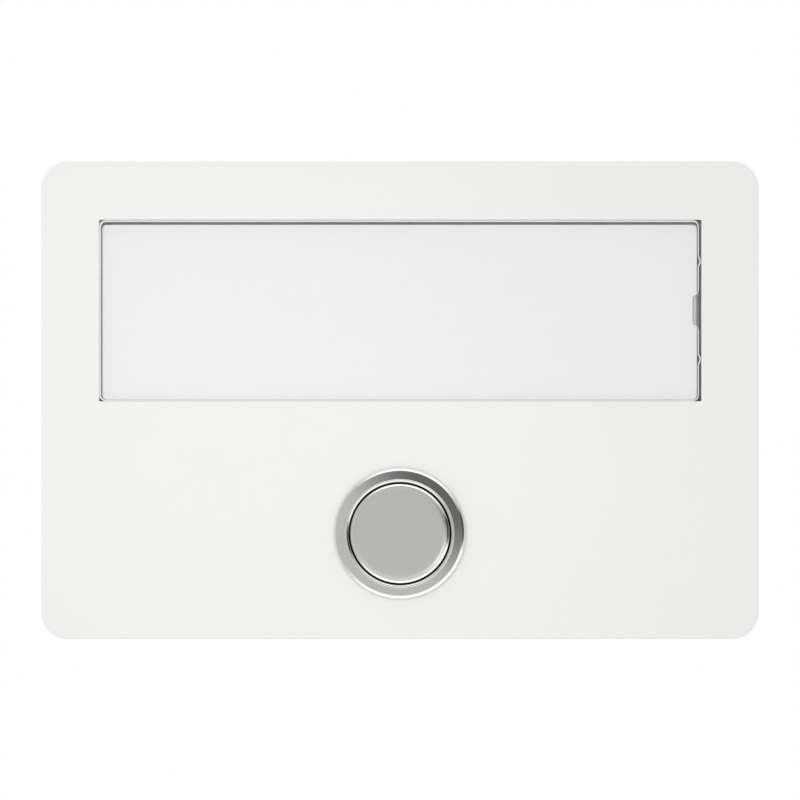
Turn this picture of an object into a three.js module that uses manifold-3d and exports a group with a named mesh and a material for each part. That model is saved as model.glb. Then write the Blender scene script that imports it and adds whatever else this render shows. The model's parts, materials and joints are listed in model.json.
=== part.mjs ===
// Wall-mounted doorbell push: a powder-coated steel face with a clip-in name plate and a stainless
// steel button, on a shallow plastic wall base. Units are millimetres.
//
// Everything is laid out facing +Z with +Y up and the wall plane at z = 0. The exported group turns
// the whole assembly so that +Z is up, +X is to the viewer's right and the front faces -Y. The origin
// is the middle of the back, on the wall plane.
import * as THREE from 'three';
import { mergeVertices } from 'three/addons/utils/BufferGeometryUtils.js';
import Module from 'manifold-3d';

const wasm = await Module();
wasm.setup();

// ---------------------------------------------------------------- driving dimensions

const FIT = 0.05; // clearance between parts that rest on each other
const THROUGH = 1; // how far a cutting tool runs past the surface it cuts
const ROUND = 32; // sides of the button's turned parts
const MIDDLE_ROUND = 20; // sides of the stem and the grommet
const SMALL_ROUND = 16; // sides of a screw or stud

const PLATE = { width: 120, height: 80, thickness: 3, corner: 4.5, frontZ: 25 };
const PLATE_BACK = PLATE.frontZ - PLATE.thickness;
const WINDOW = { width: 100.7, height: 30.5, centreY: 15 };

const OVERHANG = 1.5; // of the face plate over the wall base, all round
const BASE = {
  width: PLATE.width - 2 * OVERHANG,
  height: PLATE.height - 2 * OVERHANG,
  corner: PLATE.corner - OVERHANG,
  wall: 2,
  floor: 2.4,
  rimZ: PLATE_BACK - 0.8,
};
const RELIEF = { depth: 0.8, border: 4, rib: 3, corner: 2 }; // hollows in the base's back
const WALL_SLOT = { length: 9, width: 5.2, x: 44, y: 26, pad: 2.6 };
const CABLE_ENTRY = { x: -28, y: -19, radius: 6, padRadius: 8.4 };
const LEDGE = { inner: 29, outer: 51, backZ: 18.4, frontZ: 19.6, height: 1.4 };
const DRAIN = { x: 18, width: 8, backZ: 3, frontZ: 4.6 };

const FACE_SCREW = { x: 44, y: WINDOW.centreY, shank: 1.45, head: 2.75, headHeight: 1.8 };
const BASE_BOSS = { radius: 4.2, topZ: 18.8, pilotRadius: 1.8, pilotZ: 9 };
const INSERT = { outer: 2.3, inner: 1.55, length: 6.3 };

const STUD = { x: 53.6, spacing: 22, radius: 1, footRadius: 1.3, footHeight: 0.4, length: 5 };
const STUD_NUT = { acrossFlats: 4, thickness: 1.6 };

const COVER = {
  left: -50.3,
  right: 50,
  bottom: -0.2,
  top: 30.08,
  corner: 1,
  wall: 0.2,
  frontZ: PLATE.frontZ - 0.2,
  sheet: 0.8,
};
const SPRING_BUMP = { offset: 8.2, base: 1.85, tip: 0.5, reach: 0.3 };
const TOOL_NOTCH = { length: 5.7, depth: COVER.wall };
// The label stands on the bottom of the cover's skirt, with more room above it than beside it.
const LABEL = { width: 99.58, height: 29.25, centreX: -0.06, centreY: 14.705, frontZ: 23.85, thickness: 0.3 };
const LABEL_NOTCH = { length: 5.1, depth: 0.8 };
const BED_MARGIN = 0.03; // from the label's edge in to the edge of the tray's raised bed
const TRAY = { sideMargin: 5.5, endMargin: 3.8, slab: 1.5, frontZ: 21.4, corner: 2, bossRadius: 4.7 };
const TRAY_BOSS_BACK = BASE_BOSS.topZ + 0.1;
const COUNTERBORE = { radius: 3.2, floorZ: 20.4, hole: 1.7 };
const SEAL = { gap: 0.2, width: 1.5 };

// The button is laid out on its own axis, with z = 0 on the face plate's front.
const BUTTON_Y = -22.3;
// The bezel rises from the plate in a round rim, goes on as a cone and ends in a lip that is chamfered
// towards the cap. The rim's centre lies behind the plate's front by "sunk".
const BEZEL = {
  radius: 11.1,
  rim: 1.25,
  sunk: 0.4,
  slope: THREE.MathUtils.degToRad(21),
  coneInner: 9.1,
  lip: 1.75,
  bore: 8.6,
  boreFloor: -1,
};
const FLANGE_SEAL = { inner: 9.6, outer: 10.4, front: 0.3 };
const BARREL = { radius: 9.5, hole: 9.6, back: -13.5 };
const GUIDE = { radius: 3.2, front: -5.5, back: -8, springBore: 6, chamber: 7.5 };
const CAP = { radius: 8.3, face: 2, back: 0.9, edge: 0.5, boss: 4.2, bossBack: -1.8, socket: 3.05 };
const STEM = {
  radius: 3,
  top: 0.35,
  groove: 2.4,
  shoulder: -9.2,
  tail: 1.2,
  headRadius: 1.9,
  headFront: -12.55,
  back: -13.2,
};
const STEM_SEAL = { outer: 3.15, front: -5.7, back: -6.4 };
const CLIP = { outer: 4.6, front: -8.1, back: -8.6, mouth: 2.6 };
const RETURN_SPRING = { radius: 4.95, wire: 0.4, turns: 4.5, stepsPerTurn: 12, sides: 5 };
const CONTACT_SPRING = { radius: 1.6, wire: 0.18, turns: 4, stepsPerTurn: 8, sides: 4 };
const SWITCH = { plug: 7.3, flange: 9, front: -10.5, shoulder: -13.55, floor: -15, back: -17, bore: 5.4 };
const BRIDGE = { length: 9.2, width: 3.2, front: -12, thickness: 0.5 };
const CONTACT = { x: 3.6, width: 2.4, tip: -13.75, sheet: 0.8, reach: 9 };
const TERMINAL = { x: 7.2, shank: 1.15, hole: 1.3, head: 2.2, headHeight: 1.6, washer: 5.2 };
const LOCK_WASHER = { outer: 11.6, thickness: 0.8, teeth: 16, toothDepth: 0.9 };
const LOCK_NUT = { acrossFlats: 22, thickness: 3.5 };

const HOOK = { centre: 40, width: 18, sheet: 0.8, topY: -27, webY: -34.1, tipY: -36.2, tipZ: 17.2 };

// ---------------------------------------------------------------- solids

/** A closed three.js geometry as a manifold-3d solid. */
function solidOf(geometry) {
  const bare = geometry.index ? geometry.toNonIndexed() : geometry.clone();
  bare.deleteAttribute('normal');
  bare.deleteAttribute('uv');
  const merged = mergeVertices(bare, 1e-4);
  return new wasm.Manifold(
    new wasm.Mesh({
      numProp: 3,
      vertProperties: merged.attributes.position.array,
      triVerts: new Uint32Array(merged.index.array),
    }),
  );
}

/** A manifold-3d solid as a three.js geometry. */
function geometryOf(solid) {
  const mesh = solid.getMesh();
  const geometry = new THREE.BufferGeometry();
  geometry.setAttribute('position', new THREE.BufferAttribute(mesh.vertProperties, 3));
  geometry.setIndex(new THREE.BufferAttribute(mesh.triVerts, 1));
  const flat = geometry.toNonIndexed();
  flat.computeVertexNormals();
  return flat;
}

/** The first geometry with the others joined on. */
function join(geometry, ...others) {
  return geometryOf(others.reduce((solid, g) => solid.add(solidOf(g)), solidOf(geometry)));
}

/** The first geometry with the others cut away. */
function cut(geometry, ...others) {
  return geometryOf(others.reduce((solid, g) => solid.subtract(solidOf(g)), solidOf(geometry)));
}

/** A flat shape as a slab between two depths. */
function slab(shape, backZ, frontZ, curveSegments = 2) {
  const depth = frontZ - backZ;
  const geometry = new THREE.ExtrudeGeometry(shape, { depth, bevelEnabled: false, curveSegments });
  return geometry.translate(0, 0, backZ);
}

/** A body turned about the Z axis from an outline of [radius, z] points, listed with the solid on the left. */
function turned(outline, sides = ROUND) {
  const points = outline.map(([radius, z]) => new THREE.Vector2(radius, z));
  return new THREE.LatheGeometry(points, sides).rotateX(Math.PI / 2);
}

/** A rod or disc along Z, centred on (x, y). */
function rod(radius, backZ, frontZ, x = 0, y = 0, sides = SMALL_ROUND) {
  const geometry = new THREE.CylinderGeometry(radius, radius, frontZ - backZ, sides);
  return geometry.rotateX(Math.PI / 2).translate(x, y, (backZ + frontZ) / 2);
}

/** A washer or bush along Z, centred on (x, y). */
function tube(inner, outer, backZ, frontZ, sides = SMALL_ROUND) {
  return turned([[inner, backZ], [outer, backZ], [outer, frontZ], [inner, frontZ], [inner, backZ]], sides);
}

/** A box between two corners. */
function block(x0, y0, z0, x1, y1, z1) {
  const geometry = new THREE.BoxGeometry(x1 - x0, y1 - y0, z1 - z0);
  return geometry.translate((x0 + x1) / 2, (y0 + y1) / 2, (z0 + z1) / 2);
}

// ---------------------------------------------------------------- flat outlines

function roundedRectangle(width, height, radius, x = 0, y = 0) {
  const right = x + width / 2 - radius;
  const left = x - width / 2 + radius;
  const top = y + height / 2 - radius;
  const bottom = y - height / 2 + radius;
  const shape = new THREE.Shape();
  shape.absarc(right, bottom, radius, -Math.PI / 2, 0, false);
  shape.absarc(right, top, radius, 0, Math.PI / 2, false);
  shape.absarc(left, top, radius, Math.PI / 2, Math.PI, false);
  shape.absarc(left, bottom, radius, Math.PI, Math.PI * 1.5, false);
  return shape;
}

function polygon(corners) {
  return new THREE.Shape(corners.map(([x, y]) => new THREE.Vector2(x, y)));
}

/** A regular polygon, as a hexagon or as the outline of a round hole. */
function regular(radius, sides = SMALL_ROUND, x = 0, y = 0) {
  const angles = Array.from({ length: sides }, (_, i) => (i * Math.PI * 2) / sides);
  return polygon(angles.map((angle) => [x + radius * Math.cos(angle), y + radius * Math.sin(angle)]));
}

function hexagon(acrossFlats) {
  return regular(acrossFlats / Math.sqrt(3), 6);
}

/** The name cover's outline: round corners and, on its right side, two spring bumps. */
function coverOutline(inset) {
  const left = COVER.left + inset;
  const right = COVER.right - inset;
  const bottom = COVER.bottom + inset;
  const top = COVER.top - inset;
  const radius = COVER.corner - inset;
  const shape = new THREE.Shape();
  shape.absarc(right - radius, bottom + radius, radius, -Math.PI / 2, 0, false);
  for (const centre of [-1, 1].map((side) => WINDOW.centreY + side * SPRING_BUMP.offset)) {
    shape.lineTo(right, centre - SPRING_BUMP.base / 2);
    shape.lineTo(right + SPRING_BUMP.reach, centre - SPRING_BUMP.tip / 2);
    shape.lineTo(right + SPRING_BUMP.reach, centre + SPRING_BUMP.tip / 2);
    shape.lineTo(right, centre + SPRING_BUMP.base / 2);
  }
  shape.absarc(right - radius, top - radius, radius, 0, Math.PI / 2, false);
  shape.absarc(left + radius, top - radius, radius, Math.PI / 2, Math.PI, false);
  shape.absarc(left + radius, bottom + radius, radius, Math.PI, Math.PI * 1.5, false);
  return shape;
}

/** A helix about Z that lies flat at both ends, like a ground compression spring. */
class SpringLine extends THREE.Curve {
  constructor(radius, turns, backZ, frontZ) {
    super();
    Object.assign(this, { radius, turns, backZ, frontZ });
  }

  getPoint(t, target = new THREE.Vector3()) {
    const angle = t * this.turns * Math.PI * 2;
    const flat = 0.6 / this.turns; // share of the wire in each closed end
    const rise = THREE.MathUtils.clamp((t - flat) / (1 - 2 * flat), 0, 1);
    const z = THREE.MathUtils.lerp(this.backZ, this.frontZ, rise);
    return target.set(this.radius * Math.cos(angle), this.radius * Math.sin(angle), z);
  }
}

/** A coil spring that fills the room between two depths. */
function coilSpring({ radius, wire, turns, stepsPerTurn, sides }, backZ, frontZ) {
  const section = regular(wire, sides);
  const extrudePath = new SpringLine(radius, turns, backZ + wire, frontZ - wire);
  const steps = Math.round(turns * stepsPerTurn);
  return new THREE.ExtrudeGeometry(section, { steps, extrudePath, bevelEnabled: false });
}

// ---------------------------------------------------------------- materials

const material = (color, roughness, metalness, extra = {}) =>
  new THREE.MeshStandardMaterial({ color, roughness, metalness, ...extra });

const MATERIALS = {
  powderCoat: material(0xf1f1ef, 0.45, 0),
  clearPlastic: material(0xf4f6f6, 0.05, 0, { transparent: true, opacity: 0.25 }),
  labelCard: material(0xf2f2f1, 0.8, 0),
  trayPlastic: material(0xc6c8c7, 0.5, 0),
  basePlastic: material(0xd9dad8, 0.55, 0),
  polishedSteel: material(0xc8c7c5, 0.15, 1),
  brushedSteel: material(0xb8b7b5, 0.35, 1),
  zincSteel: material(0xa9adb0, 0.4, 1),
  springSteel: material(0x8d9092, 0.3, 1),
  brass: material(0xc9a14e, 0.35, 1),
  rubber: material(0x1d1d1e, 0.8, 0),
  foam: material(0x2b2b2c, 0.95, 0),
  switchPlastic: material(0x232426, 0.5, 0),
  stemPlastic: material(0xe6e4dc, 0.5, 0),
};

/** Adds one named part to a group. */
function part(group, name, geometry, finish) {
  const mesh = new THREE.Mesh(geometry, finish);
  mesh.name = name;
  group.add(mesh);
  return mesh;
}

const SIDES = { left: -1, right: 1 };

// ---------------------------------------------------------------- wall base

/** A screw slot's outline, longer one way than the other. */
function slotOutline(lying, grow) {
  const long = WALL_SLOT.length + 2 * grow;
  const short = WALL_SLOT.width + 2 * grow;
  return lying
    ? (x, y) => roundedRectangle(long, short, short / 2 - 0.01, x, y)
    : (x, y) => roundedRectangle(short, long, short / 2 - 0.01, x, y);
}

/** One hollow in the back of the base, between the border and the crossing ribs, round its screw pad. */
function backHollow(sideX, sideY) {
  const width = BASE.width / 2 - RELIEF.border - RELIEF.rib / 2;
  const height = BASE.height / 2 - RELIEF.border - RELIEF.rib / 2;
  const centreX = sideX * (RELIEF.rib / 2 + width / 2);
  const centreY = sideY * (RELIEF.rib / 2 + height / 2);
  const outline = roundedRectangle(width, height, RELIEF.corner, centreX, centreY);
  const pad = slotOutline(sideY > 0, WALL_SLOT.pad)(sideX * WALL_SLOT.x, sideY * WALL_SLOT.y);
  return cut(slab(outline, -THROUGH, RELIEF.depth), slab(pad, -2 * THROUGH, RELIEF.depth + THROUGH));
}

/** A ledge inside the bottom wall, which a hook on the face plate grips. */
function hookLedge(side) {
  const bottom = -BASE.height / 2 + BASE.wall;
  const [x0, x1] = [side * LEDGE.inner, side * LEDGE.outer].sort((a, b) => a - b);
  return block(x0, bottom - 0.5, LEDGE.backZ, x1, bottom + LEDGE.height, LEDGE.frontZ);
}

function wallBase() {
  const outer = roundedRectangle(BASE.width, BASE.height, BASE.corner);
  const inside = roundedRectangle(
    BASE.width - 2 * BASE.wall,
    BASE.height - 2 * BASE.wall,
    BASE.corner - BASE.wall / 2,
  );
  const shell = cut(slab(outer, 0, BASE.rimZ, 3), slab(inside, BASE.floor, BASE.rimZ + THROUGH, 3));
  const sides = [-1, 1];
  const bosses = sides.map((side) =>
    rod(BASE_BOSS.radius, BASE.floor - 0.5, BASE_BOSS.topZ, side * FACE_SCREW.x, FACE_SCREW.y),
  );
  const insertZ = BASE_BOSS.topZ - INSERT.length - 0.5;
  const insertRadius = INSERT.outer + FIT;
  const insertBores = sides.map((side) =>
    rod(insertRadius, insertZ, BASE_BOSS.topZ + THROUGH, side * FACE_SCREW.x, FACE_SCREW.y),
  );
  const pilots = sides.map((side) =>
    rod(BASE_BOSS.pilotRadius, BASE_BOSS.pilotZ, insertZ + 0.5, side * FACE_SCREW.x, FACE_SCREW.y),
  );
  const drains = sides.map((side) => {
    const x = side * DRAIN.x;
    const bottom = -BASE.height / 2;
    const inner = bottom + BASE.wall + THROUGH;
    return block(x - DRAIN.width / 2, bottom - THROUGH, DRAIN.backZ, x + DRAIN.width / 2, inner, DRAIN.frontZ);
  });
  const quarters = sides.flatMap((sideX) => sides.map((sideY) => [sideX, sideY]));
  const hollows = quarters.map(([sideX, sideY]) => backHollow(sideX, sideY));
  const slots = quarters.map(([sideX, sideY]) => {
    const outline = slotOutline(sideY > 0, 0)(sideX * WALL_SLOT.x, sideY * WALL_SLOT.y);
    return slab(outline, -THROUGH, BASE.floor + THROUGH);
  });
  const entry = rod(
    CABLE_ENTRY.radius, -THROUGH, BASE.floor + THROUGH, CABLE_ENTRY.x, CABLE_ENTRY.y, MIDDLE_ROUND,
  );
  const body = join(shell, ...bosses, ...sides.map(hookLedge));
  return cut(body, ...insertBores, ...pilots, ...drains, ...hollows, ...slots, entry);
}

/** A rubber grommet that grips the edge of the cable entry, with its mouth towards the inside. */
function cableGrommet() {
  const body = CABLE_ENTRY.radius - FIT;
  const lip = CABLE_ENTRY.padRadius - 0.4;
  const outline = [
    [3.5, FIT],
    [lip, FIT],
    [lip, RELIEF.depth - FIT],
    [body, RELIEF.depth - FIT],
    [body, BASE.floor + FIT],
    [lip, BASE.floor + FIT],
    [lip, BASE.floor + 1],
    [body, BASE.floor + 1.6],
    [4.6, BASE.floor + 4.6],
    [3.5, BASE.floor + 4.6],
    [3.5, FIT],
  ];
  return turned(outline, MIDDLE_ROUND).translate(CABLE_ENTRY.x, CABLE_ENTRY.y, 0);
}

function faceGasket() {
  const outline = roundedRectangle(BASE.width - 0.3, BASE.height - 0.3, BASE.corner);
  const inner = roundedRectangle(BASE.width - 3.9, BASE.height - 3.9, BASE.corner / 2);
  outline.holes.push(inner);
  return slab(outline, BASE.rimZ + FIT, PLATE_BACK - FIT);
}

function threadedInsert(side) {
  const top = BASE_BOSS.topZ;
  return tube(INSERT.inner, INSERT.outer, top - INSERT.length, top).translate(
    side * FACE_SCREW.x, FACE_SCREW.y, 0,
  );
}

function wallUnit() {
  const group = new THREE.Group();
  part(group, 'wall_base', wallBase(), MATERIALS.basePlastic);
  part(group, 'cable_grommet', cableGrommet(), MATERIALS.rubber);
  part(group, 'face_gasket', faceGasket(), MATERIALS.foam);
  for (const [name, side] of Object.entries(SIDES)) {
    part(group, `threaded_insert_${name}`, threadedInsert(side), MATERIALS.brass);
  }
  return group;
}

// ---------------------------------------------------------------- face plate and its fixings

function facePlate() {
  const outline = roundedRectangle(PLATE.width, PLATE.height, PLATE.corner);
  const { width, height, centreY } = WINDOW;
  const halfWidth = width / 2;
  const window = polygon([
    [-halfWidth, centreY - height / 2],
    [halfWidth, centreY - height / 2],
    [halfWidth, centreY + height / 2],
    [-halfWidth, centreY + height / 2],
  ]);
  outline.holes.push(window, regular(BARREL.hole, ROUND, 0, BUTTON_Y));
  return slab(outline, PLATE_BACK, PLATE.frontZ, 4);
}

/** A small threaded stud welded to the back of the face plate. */
function weldStud() {
  const back = PLATE_BACK - FIT;
  const foot = back - STUD.footHeight;
  return turned([
    [0, back - STUD.length],
    [STUD.radius, back - STUD.length],
    [STUD.radius, foot],
    [STUD.footRadius, foot],
    [STUD.footRadius, back],
    [0, back],
  ], SMALL_ROUND);
}

function studNut() {
  const front = TRAY.frontZ - TRAY.slab - FIT;
  const outline = hexagon(STUD_NUT.acrossFlats);
  outline.holes.push(regular(STUD.radius + FIT));
  return slab(outline, front - STUD_NUT.thickness, front);
}

/** A bent steel hook that hangs the lower edge of the face on a ledge in the base. */
function lowerHook(side) {
  const plateSide = PLATE_BACK - FIT;
  const { sheet, topY, webY, tipY, tipZ } = HOOK;
  const profile = polygon([
    [topY, plateSide],
    [webY - sheet, plateSide],
    [webY - sheet, tipZ + sheet],
    [tipY, tipZ + sheet],
    [tipY, tipZ],
    [webY, tipZ],
    [webY, plateSide - sheet],
    [topY, plateSide - sheet],
  ]);
  // The profile is drawn as (y, z), so its own X and Y axes turn to Y and Z, and its depth to X.
  const toAxes = new THREE.Matrix4().makeBasis(
    new THREE.Vector3(0, 1, 0), new THREE.Vector3(0, 0, 1), new THREE.Vector3(1, 0, 0),
  );
  const start = side * HOOK.centre - HOOK.width / 2;
  return slab(profile, start, start + HOOK.width).applyMatrix4(toAxes);
}

// ---------------------------------------------------------------- name plate

/** The tray behind the window: a flange, a raised bed for the label and two screw bosses. */
function nameTray() {
  const { width, height, centreY } = WINDOW;
  const back = TRAY.frontZ - TRAY.slab;
  const bedZ = LABEL.frontZ - LABEL.thickness - FIT;
  const flange = roundedRectangle(
    width + 2 * TRAY.sideMargin, height + 2 * TRAY.endMargin, TRAY.corner, 0, centreY,
  );
  const bedWidth = LABEL.width - 2 * BED_MARGIN;
  const bedHeight = LABEL.height - 2 * BED_MARGIN;
  const bed = roundedRectangle(bedWidth, bedHeight, 0.6, LABEL.centreX, LABEL.centreY);
  const pocketWidth = bedWidth - 2 * TRAY.slab;
  const pocketHeight = bedHeight - 2 * TRAY.slab;
  const pocket = roundedRectangle(pocketWidth, pocketHeight, 1, LABEL.centreX, LABEL.centreY);
  const sides = [-1, 1];
  const at = (radius, backZ, frontZ) =>
    sides.map((side) => rod(radius, backZ, frontZ, side * FACE_SCREW.x, FACE_SCREW.y));
  const studHoles = sides.flatMap((side) =>
    sides.map((row) =>
      rod(STUD.radius + 0.2, back - THROUGH, TRAY.frontZ + THROUGH, side * STUD.x, centreY + (row * STUD.spacing) / 2),
    ),
  );
  const dish = cut(
    join(slab(flange, back, TRAY.frontZ), slab(bed, TRAY.frontZ - 0.5, bedZ)),
    slab(pocket, back - THROUGH, bedZ - TRAY.slab),
  );
  return cut(
    join(dish, ...at(TRAY.bossRadius, TRAY_BOSS_BACK, bedZ - 0.5)),
    ...at(COUNTERBORE.radius, COUNTERBORE.floorZ, bedZ + THROUGH),
    ...at(COUNTERBORE.hole, TRAY_BOSS_BACK - THROUGH, bedZ),
    ...studHoles,
  );
}

/** A foam frame between the tray's flange and the face plate. */
function traySeal() {
  const { width, height, centreY } = WINDOW;
  const inner = 2 * SEAL.gap;
  const outer = 2 * (SEAL.gap + SEAL.width);
  const outline = roundedRectangle(width + outer, height + outer, 1, 0, centreY);
  outline.holes.push(roundedRectangle(width + inner, height + inner, 0.3, 0, centreY));
  return slab(outline, TRAY.frontZ + FIT, PLATE_BACK - FIT);
}

/** The clear cover: a sheet with a thin skirt that surrounds the tray's bed, and a notch for a tool. */
function nameCover() {
  const skirtBack = TRAY.frontZ + 0.1;
  const sheetBack = COVER.frontZ - COVER.sheet;
  const skirt = cut(
    slab(coverOutline(0), skirtBack, sheetBack + 0.4),
    slab(coverOutline(COVER.wall), skirtBack - THROUGH, sheetBack + THROUGH),
  );
  const half = TOOL_NOTCH.length / 2;
  const deep = COVER.right - TOOL_NOTCH.depth;
  const notch = polygon([
    [deep, WINDOW.centreY - half + TOOL_NOTCH.depth],
    [COVER.right + 0.01, WINDOW.centreY - half],
    [COVER.right + THROUGH, WINDOW.centreY - half],
    [COVER.right + THROUGH, WINDOW.centreY + half],
    [COVER.right + 0.01, WINDOW.centreY + half],
    [deep, WINDOW.centreY + half - TOOL_NOTCH.depth],
  ]);
  return cut(
    join(slab(coverOutline(0), sheetBack, COVER.frontZ), skirt),
    slab(notch, skirtBack - THROUGH, COVER.frontZ + THROUGH),
  );
}

/** The card that carries the name, notched where the tool goes in. */
function nameLabel() {
  const back = LABEL.frontZ - LABEL.thickness;
  const card = roundedRectangle(LABEL.width, LABEL.height, 0.5, LABEL.centreX, LABEL.centreY);
  const edge = LABEL.centreX + LABEL.width / 2;
  const notch = roundedRectangle(
    2 * LABEL_NOTCH.depth, LABEL_NOTCH.length, 0.7, edge, WINDOW.centreY,
  );
  return cut(slab(card, back, LABEL.frontZ), slab(notch, back - THROUGH, LABEL.frontZ + THROUGH));
}

/** A pan-head screw with a cross slot that holds the face on the wall base, hidden by the label. */
function faceScrew() {
  const under = COUNTERBORE.floorZ + FIT;
  const top = under + FACE_SCREW.headHeight;
  const tip = BASE_BOSS.topZ - INSERT.length + 0.4;
  const screw = turned([
    [0, tip],
    [FACE_SCREW.shank - 0.4, tip],
    [FACE_SCREW.shank, tip + 0.4],
    [FACE_SCREW.shank, under],
    [FACE_SCREW.head, under],
    [FACE_SCREW.head, top - 0.6],
    [FACE_SCREW.head - 0.6, top],
    [0, top],
  ], SMALL_ROUND);
  const arm = 1.7;
  const half = 0.35;
  const driveFloor = top - 1.1;
  return cut(
    screw,
    block(-arm, -half, driveFloor, arm, half, top + THROUGH),
    block(-half, -arm, driveFloor, half, arm, top + THROUGH),
  );
}

function faceUnit() {
  const group = new THREE.Group();
  part(group, 'face_plate', facePlate(), MATERIALS.powderCoat);
  part(group, 'name_tray', nameTray(), MATERIALS.trayPlastic);
  part(group, 'tray_seal', traySeal(), MATERIALS.foam);
  part(group, 'name_label', nameLabel(), MATERIALS.labelCard);
  part(group, 'name_cover', nameCover(), MATERIALS.clearPlastic);
  for (const [name, side] of Object.entries(SIDES)) {
    part(group, `lower_hook_${name}`, lowerHook(side), MATERIALS.zincSteel);
    const screw = part(group, `face_screw_${name}`, faceScrew(), MATERIALS.zincSteel);
    screw.position.set(side * FACE_SCREW.x, FACE_SCREW.y, 0);
    for (const [row, sign] of [['upper', 1], ['lower', -1]]) {
      const y = WINDOW.centreY + (sign * STUD.spacing) / 2;
      const stud = part(group, `weld_stud_${row}_${name}`, weldStud(), MATERIALS.zincSteel);
      const nut = part(group, `stud_nut_${row}_${name}`, studNut(), MATERIALS.zincSteel);
      stud.position.set(side * STUD.x, y, 0);
      nut.position.set(side * STUD.x, y, 0);
    }
  }
  return group;
}

// ---------------------------------------------------------------- button

/** The stainless bezel and its threaded barrel in one piece: cap bore, stem guide and rear chamber. */
function buttonHousing() {
  const { radius, rim, sunk, slope, coneInner, lip, bore, boreFloor } = BEZEL;
  const rimStart = Math.asin((FIT + sunk) / rim);
  const rimEnd = Math.PI / 2 - slope;
  const rimCentre = radius - rim * Math.cos(rimStart);
  const rimSteps = 4;
  const roundRim = Array.from({ length: rimSteps + 1 }, (_, i) => {
    const angle = THREE.MathUtils.lerp(rimStart, rimEnd, i / rimSteps);
    return [rimCentre + rim * Math.cos(angle), rim * Math.sin(angle) - sunk];
  });
  const [coneOuter, coneBack] = roundRim[rimSteps];
  const coneFront = coneBack + (coneOuter - coneInner) * Math.tan(slope);
  const recess = [FLANGE_SEAL.outer + 0.1, FLANGE_SEAL.front + FIT];
  return turned([
    [BARREL.radius - 0.4, BARREL.back],
    [BARREL.radius, BARREL.back + 0.4],
    [BARREL.radius, recess[1]],
    recess,
    [recess[0], FIT],
    ...roundRim,
    [coneInner, coneFront],
    [coneInner - 0.08, lip - 0.1],
    [coneInner - 0.17, lip],
    [bore, lip - 0.2],
    [bore, boreFloor],
    [GUIDE.springBore, boreFloor],
    [GUIDE.springBore, GUIDE.front],
    [GUIDE.radius, GUIDE.front],
    [GUIDE.radius, GUIDE.back],
    [GUIDE.chamber, GUIDE.back],
    [GUIDE.chamber, BARREL.back],
    [BARREL.radius - 0.4, BARREL.back],
  ]);
}

function buttonCap() {
  const { radius, face, back, edge, boss, bossBack, socket } = CAP;
  const fillet = Array.from({ length: 4 }, (_, i) => {
    const angle = (i / 3) * (Math.PI / 2);
    return [radius - edge + edge * Math.cos(angle), face - edge + edge * Math.sin(angle)];
  });
  return turned([
    [0, STEM.top + FIT],
    [socket, STEM.top + FIT],
    [socket, bossBack],
    [boss, bossBack],
    [boss, back],
    [radius, back],
    ...fillet,
    [0, face],
  ]);
}

/** The plastic stem between the cap and the moving contact, grooved for its seal and its clip. */
function plunger() {
  const { radius, top, groove, shoulder, tail, headRadius, headFront, back } = STEM;
  return turned([
    [0, back],
    [headRadius - 0.3, back],
    [headRadius, back + 0.3],
    [headRadius, headFront],
    [tail, headFront],
    [tail, shoulder],
    [radius, shoulder],
    [radius, CLIP.back - FIT],
    [groove, CLIP.back - FIT],
    [groove, CLIP.front + FIT],
    [radius, CLIP.front + FIT],
    [radius, STEM_SEAL.back - FIT],
    [groove, STEM_SEAL.back - FIT],
    [groove, STEM_SEAL.front + FIT],
    [radius, STEM_SEAL.front + FIT],
    [radius, top],
    [0, top],
  ], MIDDLE_ROUND);
}

/** An open snap ring in the stem's rear groove, which stops the stem against the guide. */
function retainingClip() {
  const inner = STEM.groove + FIT;
  const open = Math.asin(CLIP.mouth / 2 / CLIP.outer);
  const ring = new THREE.Shape();
  ring.absarc(0, 0, CLIP.outer, -Math.PI / 2 + open, Math.PI * 1.5 - open, false);
  const innerOpen = Math.asin(CLIP.mouth / 2 / inner);
  ring.absarc(0, 0, inner, Math.PI * 1.5 - innerOpen, -Math.PI / 2 + innerOpen, true);
  return slab(ring, CLIP.back, CLIP.front, 10);
}

/** A locking washer with teeth on its inner edge. */
function lockWasher() {
  const front = -PLATE.thickness - FIT;
  const inner = BARREL.radius + 0.1;
  const outline = regular(LOCK_WASHER.outer, ROUND);
  const teeth = [];
  for (let i = 0; i < 2 * LOCK_WASHER.teeth; i += 1) {
    const radius = inner + (i % 2 ? LOCK_WASHER.toothDepth : 0);
    for (const edge of [0.15, 0.85]) {
      const angle = ((i + edge) * Math.PI) / LOCK_WASHER.teeth;
      teeth.push([radius * Math.cos(angle), radius * Math.sin(angle)]);
    }
  }
  outline.holes.push(polygon(teeth));
  return slab(outline, front - LOCK_WASHER.thickness, front);
}

function lockNut() {
  const front = -PLATE.thickness - LOCK_WASHER.thickness - 2 * FIT;
  const outline = hexagon(LOCK_NUT.acrossFlats);
  outline.holes.push(regular(BARREL.radius + FIT, ROUND));
  return slab(outline, front - LOCK_NUT.thickness, front);
}

/** The moulded contact carrier that plugs into the back of the barrel. */
function switchBase() {
  const { plug, flange, front, shoulder, floor, back, bore } = SWITCH;
  const cup = turned([
    [0, back],
    [flange, back],
    [flange, shoulder],
    [plug, shoulder],
    [plug, front],
    [bore, front],
    [bore, floor],
    [0, floor],
  ]);
  const sides = [-1, 1];
  const screwHoles = sides.map((side) =>
    rod(TERMINAL.hole, back - THROUGH, back + 2.8, side * TERMINAL.x),
  );
  const halfWidth = CONTACT.width / 2 + FIT;
  const halfSheet = CONTACT.sheet / 2 + FIT;
  const contactSlots = sides.map((side) => {
    const x = side * CONTACT.x;
    return block(x - halfSheet, -halfWidth, back - THROUGH, x + halfSheet, halfWidth, floor + THROUGH);
  });
  return cut(cup, ...screwHoles, ...contactSlots);
}

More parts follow.
